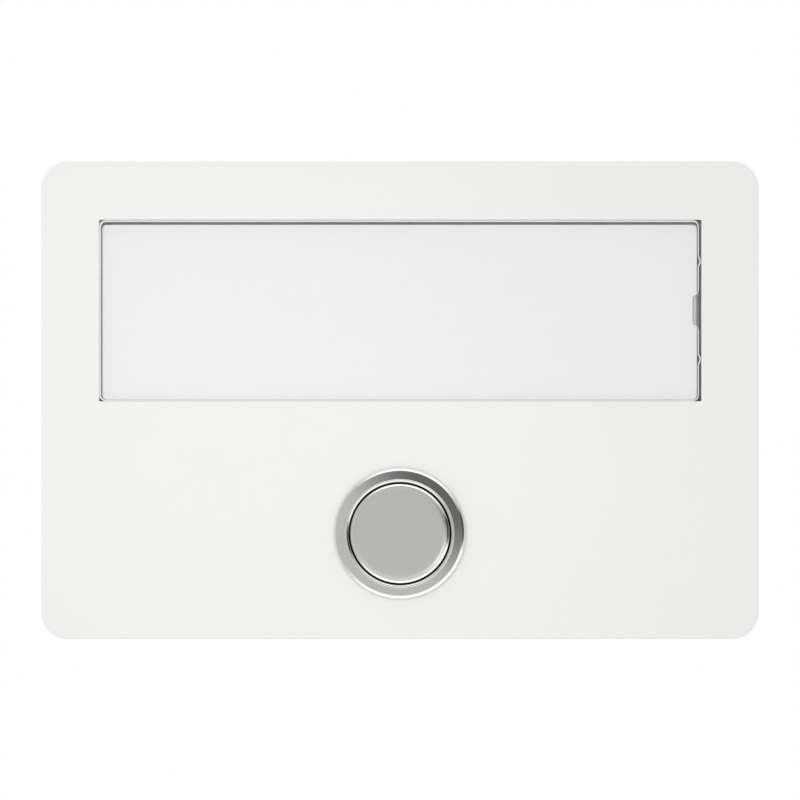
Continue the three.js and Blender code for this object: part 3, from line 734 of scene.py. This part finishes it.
def lower_hooks():
    """Bent steel strips, each with two round bends and a turned-down tip."""
    for side in PAIR:
        node = f"lower_hook_{side}"
        low, high = extent(node)
        sheet = 0.8
        web = -34.1
        bend = 0.9
        tip = low.z
        profile = [
            (high.y, high.z),
            *arc(web - sheet + bend, high.z - bend, bend, 90, 180, 6),
            (web - sheet, tip + sheet),
            *arc(low.y + 0.2, tip + sheet - 0.2, 0.2, 90, 180, 3),
            *arc(low.y + 0.2, tip + 0.2, 0.2, 180, 270, 3),
            *arc(web - 0.3, tip + 0.3, 0.3, 270, 360, 4),
            (web, high.z - sheet - 0.2),
            (web + 0.2, high.z - sheet),
            (high.y, high.z - sheet),
        ]
        strip = bar(profile, low.x, high.x, lambda up, forward, x: (x, up, forward))
        stand_for(node, soften(strip, 0.1))


# ------------------------ name plate

WINDOW_UP = 15.0
COVER_LOW, COVER_HIGH = extent("name_cover")
COVER_WALL = 0.3
COVER_RIGHT_WALL = 0.18
COVER_BOTTOM_WALL = 0.26
COVER_CORNER = 1.0
COVER_SHEET = 0.8
BUMP_OFFSET = 8.2
BUMP_BASE = 1.85
BUMP_TIP = 0.5
BUMP_REACH = 0.3
NOTCH_HALF = 2.75
NOTCH_CURL = 0.65
NOTCH_CURL_IN = 0.13


def cover_side(share, steps=6):
    """The skirt's path, counter-clockwise, from the notch's upper end round to its lower end. It lies
    a share of the way through the wall: 0 is its outer side and 1 its inner side."""
    wall = COVER_WALL * share
    right = COVER_HIGH.x - BUMP_REACH - COVER_RIGHT_WALL * share
    left = COVER_LOW.x + wall
    top = COVER_HIGH.y - wall
    bottom = COVER_LOW.y + COVER_BOTTOM_WALL * share
    radius = COVER_CORNER - wall
    upper = []
    for i in range(steps + 1):
        t = i / steps
        smooth = t * t * (3 - 2 * t)
        x = right - NOTCH_CURL_IN * (1 - 0.6 * share) * (1 - smooth)
        upper.append((x, WINDOW_UP + NOTCH_HALF + NOTCH_CURL * t))
    centre = WINDOW_UP + BUMP_OFFSET
    narrow = COVER_RIGHT_WALL * share * 0.5
    for reach, half in [(0, BUMP_BASE / 2), (BUMP_REACH, BUMP_TIP / 2)]:
        upper.append((right + reach, centre - half + narrow))
    for reach, half in [(BUMP_REACH, BUMP_TIP / 2), (0, BUMP_BASE / 2)]:
        upper.append((right + reach, centre + half - narrow))
    corners = [
        *arc(right - radius, top - radius, radius, 0, 90, 5),
        *arc(left + radius, top - radius, radius, 90, 180, 5),
        *arc(left + radius, bottom + radius, radius, 180, 270, 5),
        *arc(right - radius, bottom + radius, radius, 270, 360, 5),
    ]
    lower = [(x, 2 * WINDOW_UP - up) for x, up in reversed(upper)]
    return upper + corners + lower


def name_cover():
    """A clear sheet with a thin skirt. The skirt's ends curl in at the tool notch."""
    front, skirt_back = COVER_HIGH.z, COVER_LOW.z
    sheet_back = front - COVER_SHEET
    outer = cover_side(0)
    inner = cover_side(1)
    bm = bmesh.new()
    edge = 0.1
    stations = [(amount, front - depth) for amount, depth in quarter_round(edge, 3)]
    sheet_front = ring_of(bm, inner, front)
    rings = [ring_of(bm, inset(outer, amount), forward) for amount, forward in stations]
    sheet_ring = ring_of(bm, outer, sheet_back)
    for one, two in zip([sheet_front, *rings], [*rings, sheet_ring]):
        bridge(bm, one, two)
    skirt_outer = ring_of(bm, outer, skirt_back)
    skirt_inner = ring_of(bm, inner, skirt_back)
    sheet_inner = ring_of(bm, inner, sheet_back)
    loops = [sheet_ring, skirt_outer, skirt_inner, sheet_inner]
    for one, two in zip(loops, loops[1:]):
        for i in range(len(outer) - 1):
            bm.faces.new((one[i], one[i + 1], two[i + 1], two[i]))
    for i in (0, -1):
        bm.faces.new([loop[i] for loop in loops])
    # The sides and the rounded rim get the painted edge glow, except the rim's front over the notch, which
    # stays clear.
    for face in bm.faces:
        place = face.calc_center_median() / MM
        in_notch = place.x > 0 and abs(place.z - WINDOW_UP) < NOTCH_HALF
        on_front = -place.y > front - edge
        face.material_index = 0 if in_notch and on_front else 1
    bm.faces.new(sheet_front)
    bm.faces.new([*sheet_inner, sheet_ring[-1], sheet_ring[0]])
    cover = stand_for("name_cover", bm, painted_glow_edge())
    # Lamps and soft light pass through the clear sheet to the label.
    cover.visible_shadow = False
    cover.visible_diffuse = False


def name_label():
    """A card with a notch in its right edge, where the tool goes in."""
    low, high = extent("name_label")
    right = high.x - 0.04
    notch, half = 0.72, 2.55
    radius, point = 0.6, 0.08
    corner, steps = 0.7, 5
    bottom, top = WINDOW_UP - half, WINDOW_UP + half
    hollow_x = right - notch + radius
    notch_side = [
        *arc(right - point, bottom - point, point, 0, 90, 3),
        *reversed(arc(hollow_x, bottom + radius, radius, 180, 270, 6)),
        *reversed(arc(hollow_x, top - radius, radius, 90, 180, 6)),
        *arc(right - point, top + point, point, -90, 0, 3),
    ]
    card = rounded(low.x, low.y, right, high.y, corner, steps)
    outline = card[: steps + 1] + notch_side + card[steps + 1 :]
    stand_for("name_label", slab(outline, low.z, high.z, edge=0.04, steps=2))


def name_tray():
    """The tray behind the window: flange, raised bed, screw bosses and stiffening ribs in the pocket."""
    low, high = extent("name_tray")
    label_low, label_high = extent("name_label")
    back, front, bed = 19.9, 21.4, high.z
    margin, right_margin = 0.03, 0.09
    left, bottom = label_low.x + margin, label_low.y + margin
    right, top = label_high.x - right_margin, label_high.y - margin
    wall, sheet = 1.5, 1.5
    pocket_bottom, pocket_top = bottom + wall, top - wall
    pocket = rounded(left + wall, pocket_bottom, right - wall, pocket_top, 1, 6)
    flange = slab(rounded(low.x, low.y, high.x, high.y, 2, 8), back, front, edge=0.2)
    raised = slab(rounded(left, bottom, right, top, 0.7, 6), front - OVERLAP, bed, edge=0.05)
    dish = cut(join(flange, raised), slab(pocket, back - THROUGH, bed - sheet, edge=0))
    boss, head_room, shank_room, stud_room = 4.7, 3.2, 1.7, 1.2
    seat = 20.4
    solid, holes = [], []
    for side in PAIR:
        x, up = middle(f"face_screw_{side}")
        solid.append(rod(boss, low.z, bed - 0.5, x, up))
        holes.append(rod(head_room, seat, bed + THROUGH, x, up))
        holes.append(rod(shank_room, low.z - THROUGH, bed, x, up))
        for row in ROWS:
            x, up = middle(f"weld_stud_{row}_{side}")
            holes.append(rod(stud_room, back - THROUGH, front + THROUGH, x, up))
    half = 0.6
    low_end, high_end = pocket_bottom - OVERLAP, pocket_top + OVERLAP
    for x in (-22, 0, 22):
        solid.append(block((x - half, low_end, back), (x + half, high_end, bed - 1)))
    stand_for("name_tray", soften(cut(join(dish, *solid), *holes), 0.08))


def tray_seal():
    low, high = extent("tray_seal")
    width = 1.5
    outer = rounded(low.x, low.y, high.x, high.y, 1, 6)
    inner = rounded(low.x + width, low.y + width, high.x - width, high.y - width, 0.3, 3)
    stand_for("tray_seal", slab(outer, low.z, high.z, [inner], edge=0.15, hole_edge=0.15))


def face_screws():
    """Cross-recessed pan-head screws."""
    for side in PAIR:
        node = f"face_screw_{side}"
        low, high, x, up = placed(node)
        under = high.z - 1.8
        head = (high.x - low.x) / 2
        outline = [
            (0, low.z),
            (0.9, low.z),
            *thread(1.45, low.z + 0.4, under - 0.4, 0.5, 0.25),
            (1.3, under),
            (head - 0.1, under),
            (head, under + 0.1),
            *arc(head - 1.1, high.z - 1.1, 1.1, 5, 90, 8),
            (0, high.z),
        ]
        recess = []
        for reach_x, reach_up in [(1.7, 0.35), (0.35, 1.7)]:
            low_corner = (x - reach_x, up - reach_up, high.z - 1.1)
            recess.append(block(low_corner, (x + reach_x, up + reach_up, high.z + THROUGH)))
        stand_for(node, cut(turned(outline, INNER_SIDES, x, up), *recess))


# ------------------------ button


# Forward places in button outlines count from the front of the plate.
BARREL_BACK = -13.5
BARREL = 9.5
BORE = 8.6
STEM = 3.0  # the plunger's radius


def button_turned(outline, sides=SIDES):
    return turned([(radius, PLATE_FRONT + forward) for radius, forward in outline], sides, 0, BUTTON_UP)


def paint(bm, slot, near, far, front):
    """Gives a material slot to the faces between two radii of the button and behind a forward place."""
    for face in bm.faces:
        place = face.calc_center_median() / MM
        radius = math.hypot(place.x, place.z - BUTTON_UP)
        if near < radius < far and -place.y < PLATE_FRONT + front:
            face.material_index = slot
    return bm


def button_housing():
    """The bezel and its threaded barrel: a round rim, a cone and a lip chamfered towards the cap."""
    low, high = extent("button_housing")
    outer = (high.x - low.x) / 2
    lip = high.z - PLATE_FRONT
    rim = 1.3
    sunk = 0.4
    slope = 21
    chamfer = 28
    chamber = 7.5
    spring_room, seat = 6.0, -1.0
    guide, guide_front, guide_back = STEM + 0.2, -5.5, -8.0
    shoulder, rim_back, under_rim = 10.5, 0.05, 0.35
    rim_start = math.degrees(math.asin((rim_back + sunk) / rim))
    rim_arc = arc(outer - rim * math.cos(math.radians(rim_start)), -sunk, rim, rim_start, 90 - slope, 16)
    cone_inner = 9.1
    cone_front = rim_arc[-1][1] + (rim_arc[-1][0] - cone_inner) * math.tan(math.radians(slope))
    outline = [
        (chamber, BARREL_BACK),
        (BARREL - 0.5, BARREL_BACK),
        *thread(BARREL, BARREL_BACK + 0.4, -0.9, 1.0, 0.35),
        (BARREL - 0.35, under_rim),
        (shoulder, under_rim),
        (shoulder, rim_back),
        *rim_arc,
        (cone_inner, cone_front),
        (cone_inner - 0.06, cone_front + 0.08),
        *arc(cone_inner - 0.14, lip - 0.1, 0.1, 10, 90 + chamfer, 8),
        (BORE + 0.03, lip - 0.16),
        (BORE, lip - 0.2),
        (BORE, seat),
        (spring_room, seat),
        (spring_room, guide_front),
        (guide, guide_front),
        (guide, guide_back),
        (chamber, guide_back),
    ]
    # The bore, behind the lip, gets the painted gap shade.
    bore_painted = paint(button_turned(outline), 1, spring_room - 0.1, BORE + 0.005, lip - 0.2)
    stand_for("button_housing", bore_painted, GAP_SHADE_LOOK)


def bends(start, *turns):
    """Points on from a start point over round bends of (radius, first tilt, last tilt, steps), where a
    surface that faces straight forward has no tilt."""
    points = []
    x, forward = start
    for radius, first, last, steps in turns:
        first, last = math.radians(first), math.radians(last)
        centre_x = x - radius * math.sin(first)
        centre = forward - radius * math.cos(first)
        for i in range(1, steps + 1):
            tilt = first + (last - first) * i / steps
            points.append((centre_x + radius * math.sin(tilt), centre + radius * math.cos(tilt)))
        x, forward = points[-1]
    return points


def button_cap():
    """The cap: a flat disc that falls away a little towards its polished edge."""
    low, high = extent("button_cap")
    radius = (high.x - low.x) / 2
    face = high.z - PLATE_FRONT
    fall = 0.08
    flat = 6.7
    turns = [(0.35, 9, 26, 4), (1.6, 26, 42, 8), (0.12, 42, 90, 5)]
    edge = bends((0, 0), *turns)[-1][0]
    shoulder = radius - edge
    crown = [(flat + (shoulder - flat) * i / 8, face - fall * (i / 8) ** 3) for i in range(9)]
    rounded_edge = bends(crown[-1], *turns)
    socket, socket_floor = STEM + 0.05, 0.4
    neck, neck_back, disc_back = 4.2, -1.8, 0.9
    outline = [
        (0, socket_floor),
        (socket, socket_floor),
        (socket, neck_back),
        (neck - 0.2, neck_back),
        (neck, neck_back + 0.2),
        (neck, disc_back),
        (radius - 0.1, disc_back),
        (radius, disc_back + 0.1),
        *reversed(rounded_edge),
        *reversed(crown),
        (0, face),
    ]
    # The cap's rounded edge is polished steel; its side below the edge gets the painted gap shade.
    cap_mesh = paint(button_turned(outline), 2, shoulder, radius + 0.01, face)
    cap_mesh = paint(cap_mesh, 1, radius - 0.01, radius + 0.01, rounded_edge[-1][1])
    stand_for("button_cap", cap_mesh, GAP_SHADE_LOOK, LOOKS["polished_steel"])


def plunger():
    """The stem: a foot, a neck for the moving contact, and grooves for the clip and the seal."""
    groove, neck, foot = 2.4, 1.2, 1.9
    grooves = []
    for back, front in [(-8.65, -8.05), (-6.45, -5.65)]:
        grooves += [(STEM, back), (groove, back), (groove, front), (STEM, front)]
    outline = [
        (0, -13.2),
        (foot - 0.3, -13.2),
        (foot, -12.9),
        (foot, -12.55),
        (neck, -12.55),
        (neck, -9.2),
        (STEM - 0.2, -9.2),
        (STEM, -9.0),
        *grooves,
        (STEM, 0.15),
        (STEM - 0.2, 0.35),
        (0, 0.35),
    ]
    stand_for("plunger", button_turned(outline, INNER_SIDES))


def seals():
    low, high = extent("stem_seal")
    radius = (high.z - low.z) / 2
    centre = (low.z + high.z) / 2
    outer = (high.x - low.x) / 2
    stem = [(outer - radius + dx, z) for dx, z in arc(0, centre, radius, 0, 360, 20)[:-1]]
    stand_for("stem_seal", turned(stem, INNER_SIDES, 0, BUTTON_UP))
    low, high = extent("flange_seal")
    outer = (high.x - low.x) / 2
    half = (high.z - low.z) / 2
    centre = (low.z + high.z) / 2
    width = 0.8
    section = [
        *arc(outer - half, centre, half, -90, 90, 10),
        *arc(outer - width + half, centre, half, 90, 270, 10),
    ]
    stand_for("flange_seal", turned(section, SIDES, 0, BUTTON_UP))


def retaining_clip():
    """An open snap ring with round ends."""
    low, high = extent("retaining_clip")
    outer = (high.x - low.x) / 2
    inner = 2.45
    mouth = math.degrees(math.asin(1.3 / outer))
    mouth_in = math.degrees(math.asin(1.3 / inner))
    ring = arc(0, BUTTON_UP, outer, -90 + mouth, 270 - mouth, 48)
    ring += arc(0, BUTTON_UP, inner, 270 - mouth_in, -90 + mouth_in, 36)
    stand_for("retaining_clip", slab(ring, low.z, high.z, edge=0.06))


def springs():
    low, high = extent("return_spring")
    spring = stand_for("return_spring", coil(4.95, 0.4, 4.5, low.z, high.z, BUTTON_UP))
    seat = to_row(0, BUTTON_UP, low.z)
    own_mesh(spring)
    low, high = extent("contact_spring")
    spring = stand_for("contact_spring", coil(1.6, 0.18, 4, low.z, high.z, BUTTON_UP, 28, 8))
    seat = to_row(0, BUTTON_UP, high.z)
    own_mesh(spring)


def lock_washer():
    """An internal-tooth locking washer."""
    low, high = extent("lock_washer")
    outer = (high.x - low.x) / 2
    teeth = 16
    hole = []
    for i in range(teeth):
        start = 360 * i / teeth
        hole += arc(0, BUTTON_UP, 9.6, start + 3, start + 9, 3)
        hole += arc(0, BUTTON_UP, 10.5, start + 13, start + 21, 4)
    stand_for("lock_washer", slab(circle(outer, SIDES, 0, BUTTON_UP), low.z, high.z, [hole], 0.1, 0.04))


def lock_nut():
    low, high = extent("lock_nut")
    across_flats = high.y - low.y
    stand_for("lock_nut", hex_nut(low, high, 0, BUTTON_UP, across_flats, 9.55, SIDES))


def switch_base():
    """The contact carrier: a cup that plugs into the barrel, a flange and two terminal holes."""
    cup = button_turned([
        (0, -17),
        (8.7, -17),
        (9, -16.7),
        (9, -13.85),
        (8.7, -13.55),
        (7.3, -13.55),
        (7.3, -10.7),
        (7.1, -10.5),
        (5.4, -10.5),
        (5.4, -15),
        (0, -15),
    ])
    floor = PLATE_FRONT - 15
    back = PLATE_FRONT - 17
    holes = []
    for side in PAIR.values():
        holes.append(rod(1.3, back - THROUGH, back + 2.8, side * 7.2, BUTTON_UP))
        x = side * 3.6
        low = (x - 0.45, BUTTON_UP - 1.25, back - THROUGH)
        holes.append(block(low, (x + 0.45, BUTTON_UP + 1.25, floor + THROUGH)))
    stand_for("switch_base", soften(cut(cup, *holes), 0.08))


def fixed_contacts():
    """Bent brass strips with a contact face in front of the carrier and a terminal tag behind it."""
    width = 2.4
    for name, side in PAIR.items():
        node = f"fixed_contact_{name}"
        low, high = extent(node)
        tip, tag = high.z, low.z
        profile = [
            (3.9, tip - 0.7),
            (4.3, tip - 0.6),
            (4.3, tip - 0.1),
            *arc(3.9, tip - 0.1, 0.1, 45, 90, 2),
            (2.7, tip),
            (2.6, tip - 0.1),
            (2.6, tip - 0.6),
            (3.0, tip - 0.7),
            (3.2, tip - 0.75),
            *arc(3.2 + 0.3, tag + 0.3, 0.3, 180, 270, 5),
            (6.0, tag),
            (6.0, tag + 0.8),
            (4.0, tag + 0.8),
            (4.0, tip - 0.75),
        ]
        half = width / 2
        strip = bar(profile, -half, half, lambda x, z, up, side=side: (side * x, BUTTON_UP + up, z))
        near, far = sorted((side * 5.4, side * 9.0))
        tab = block((near, BUTTON_UP - 1.9, tag + 0.02), (far, BUTTON_UP + 1.9, tag + 0.78))
        hole = rod(1.2, tag - THROUGH, tag + THROUGH, side * 7.2, BUTTON_UP)
        stand_for(node, cut(join(strip, tab), hole))


def contact_bridge():
    low, high = extent("contact_bridge")
    outline = rounded(low.x, low.y, high.x, high.y, 0.8, 6)
    hole = circle(1.35, 48, 0, BUTTON_UP)
    stand_for("contact_bridge", slab(outline, low.z, high.z, [hole], 0.08, 0.05))


def terminals():
    for name in PAIR:
        washer = f"terminal_washer_{name}"
        low, high, x, up = placed(washer)
        outline = rounded(low.x, low.y, high.x, high.y, 0.5, 5)
        stand_for(washer, slab(outline, low.z, high.z, [circle(1.3, 48, x, up)], 0.1, 0.06))
        screw = f"terminal_screw_{name}"
        low, high, x, up = placed(screw)
        head = (high.x - low.x) / 2
        seat = low.z + 1.6
        outline = [
            (0, low.z),
            *arc(head - 0.6, low.z + 0.6, 0.6, -90, 0, 6),
            (head, seat),
            (1.0, seat),
            *thread(1.15, seat + 0.3, high.z - 0.3, 0.45, 0.2),
            (0.7, high.z),
            (0, high.z),
        ]
        slot = block((x - 0.35, up - 3, low.z - THROUGH), (x + 0.35, up + 3, low.z + 0.8))
        stand_for(screw, cut(turned(outline, INNER_SIDES, x, up), slot))


# ------------------------ studio

CAMERA_DISTANCE = 0.9
PLATE_SHARE = 0.897  # of the picture's width
SENSOR = 36.0
FLOOR_DROP = 0.16
FLOOR_RADIUS = 1.05
TENT_RADIUS = 2.0
KEY_POWER = 2.5
KEY_PLACE = (-0.28, -0.42, 0.12)
KEY_SPREAD = 27


def camera():
    data = bpy.data.cameras.new("camera")
    data.sensor_width = SENSOR
    width = (PLATE_HIGH.x - PLATE_LOW.x) * MM / PLATE_SHARE
    data.lens = SENSOR * CAMERA_DISTANCE / width
    data.clip_start = 0.01
    made = bpy.data.objects.new("camera", data)
    made.location = to_row(0, 0, PLATE_FRONT) + Vector((0, -CAMERA_DISTANCE, 0))
    made.rotation_euler = (math.pi / 2, 0, 0)
    bpy.context.scene.collection.objects.link(made)
    bpy.context.scene.camera = made


def staged(name, bm, look):
    bmesh.ops.recalc_face_normals(bm, faces=bm.faces)
    mesh = bpy.data.meshes.new(name)
    bm.to_mesh(mesh)
    bm.free()
    mesh.shade_smooth()
    mesh.materials.append(look)
    made = bpy.data.objects.new(name, mesh)
    bpy.context.scene.collection.objects.link(made)
    return made


def floor():
    bm = bmesh.new()
    height = PLATE_LOW.y * MM - FLOOR_DROP
    bm.faces.new([bm.verts.new((x * FLOOR_RADIUS, y * FLOOR_RADIUS, height)) for x, y in circle(1, 96)])
    look = Look("floor", (0.9, 0.9, 0.9), 0.8)
    look.rough(look.noise(20), 0.75, 0.85)
    made = staged("floor", bm, look.material)
    made.visible_glossy = False


class Pattern:
    """Brightness by direction from the tent's middle. Its axis points straight forward, and azimuths go
    round it from the viewer's right towards up."""

    def __init__(self, look):
        self.node = look.node
        self.direction = self.vector("NORMALIZE", look.place)
        self.around = self.vector("NORMALIZE", self.vector("MULTIPLY", self.direction, (1, 0, 1)))
        self.up = self.node("ShaderNodeSeparateXYZ", {"Vector": self.direction}).outputs["Z"]

    def vector(self, operation, *values, result="Vector"):
        made = self.node("ShaderNodeVectorMath", dict(enumerate(values)), operation=operation)
        return made.outputs[result]

    def combined(self, operation, *levels):
        total = levels[0]
        for level in levels[1:]:
            made = self.node("ShaderNodeMath", {0: total, 1: level}, operation=operation)
            total = made.outputs["Value"]
        return total

    def fade(self, value, low, high, start, end):
        """Goes smoothly from start to end while a value goes from low to high."""
        inputs = {"Value": value, "From Min": low, "From Max": high, "To Min": start, "To Max": end}
        return self.node("ShaderNodeMapRange", inputs, interpolation_type="SMOOTHSTEP").outputs["Result"]

    def closing(self, vector, aim, outer, inner, start, end):
        """Goes smoothly from start to end while a vector comes from one angle off an aim to another."""
        reach = self.vector("DOT_PRODUCT", vector, aim, result="Value")
        return self.fade(reach, math.cos(math.radians(outer)), math.cos(math.radians(inner)), start, end)

    def panel(self, azimuth, outer, inner, start, end):
        """A fade round the axis, between two angles off an azimuth."""
        turn = math.radians(azimuth)
        return self.closing(self.around, (math.cos(turn), 0, math.sin(turn)), outer, inner, start, end)

    def spot(self, azimuth, off_axis, outer, inner, end):
        """A round patch, fading in between two angles from its middle."""
        turn, lean = math.radians(azimuth), math.radians(off_axis)
        aim = (math.sin(lean) * math.cos(turn), -math.cos(lean), math.sin(lean) * math.sin(turn))
        return self.closing(self.direction, aim, outer, inner, 0.0, end)

    def ring(self, inside, outside, near, far):
        """One level near the axis and another far from it, mixed between two angles off it."""
        share = self.closing(self.direction, (0, -1, 0), far, near, 1.0, 0.0)
        return self.node("ShaderNodeMix", {0: share, 2: inside, 3: outside}).outputs[0]


def tent_level(look):
    """Round the axis a plain panel with two soft spots, then a ring with a dark flag to the upper right,
    and then a ring with bright panels above and below and a narrow flag at the right."""
    pattern = Pattern(look)
    combined, panel, spot, ring = pattern.combined, pattern.panel, pattern.spot, pattern.ring
    low_glow = pattern.fade(pattern.up, -0.35, -0.02, 0.25, 0.0)
    rise = pattern.fade(pattern.up, 0.05, 0.25, 0.62, 0.7)
    centre = combined("ADD", rise, low_glow, spot(-33, 19, 8, 4, 1.0), spot(6, 19, 10, 5, -0.35))
    middle = panel(46, 112, 0, 0.59, 0.15)
    bright = combined("ADD", panel(80, 60, 18, 0.6, 1.3), panel(290, 84, 41, 0.0, 0.75))
    flag = ring(panel(3, 22, 8, 1.0, 0.08), 1.0, 70, 88)
    return ring(ring(centre, middle, 24, 36), combined("MULTIPLY", bright, flag), 46, 58)


def tent():
    """A light tent that only shiny surfaces see."""
    look = Look("tent", (0, 0, 0), 1.0)
    shine = look.node("ShaderNodeEmission", {"Color": (1, 1, 1, 1), "Strength": tent_level(look)})
    look.tree.links.new(shine.outputs["Emission"], look.tree.nodes["Material Output"].inputs["Surface"])
    look.material.cycles.emission_sampling = "NONE"
    bm = bmesh.new()
    bmesh.ops.create_icosphere(bm, subdivisions=4, radius=TENT_RADIUS)
    made = staged("tent", bm, look.material)
    made.visible_camera = False
    made.visible_diffuse = False
    made.visible_shadow = False
    made.visible_transmission = False
    made.visible_volume_scatter = False


def lights():
    world = bpy.data.worlds.new("studio")
    world.use_nodes = True
    world.node_tree.nodes["Background"].inputs["Color"].default_value = (1, 1, 1, 1)
    world.node_tree.nodes["Background"].inputs["Strength"].default_value = 1.0
    bpy.context.scene.world = world
    data = bpy.data.lights.new("key", "SPOT")
    data.energy = KEY_POWER
    data.spot_size = math.radians(KEY_SPREAD)
    data.spot_blend = 1.0
    data.shadow_soft_size = 0.08
    key = bpy.data.objects.new("key", data)
    key.location = KEY_PLACE
    aim = to_row(-18, -8, PLATE_FRONT)
    key.rotation_euler = (aim - key.location).to_track_quat("-Z", "Y").to_euler()
    key.visible_camera = False
    key.visible_glossy = False
    bpy.context.scene.collection.objects.link(key)


def picture_settings():
    view = bpy.context.scene.view_settings
    view.view_transform = "Standard"
    view.look = "None"
    view.exposure = 0.0
    view.gamma = 1.0


camera()
picture_settings()
lights()
floor()
tent()
wall_base()
cable_grommet()
face_gasket()
threaded_inserts()
face_plate()
weld_studs_and_nuts()
lower_hooks()
name_tray()
tray_seal()
name_label()
name_cover()
face_screws()
button_housing()
button_cap()
plunger()
seals()
retaining_clip()
springs()
lock_washer()
lock_nut()
switch_base()
fixed_contacts()
contact_bridge()
terminals()
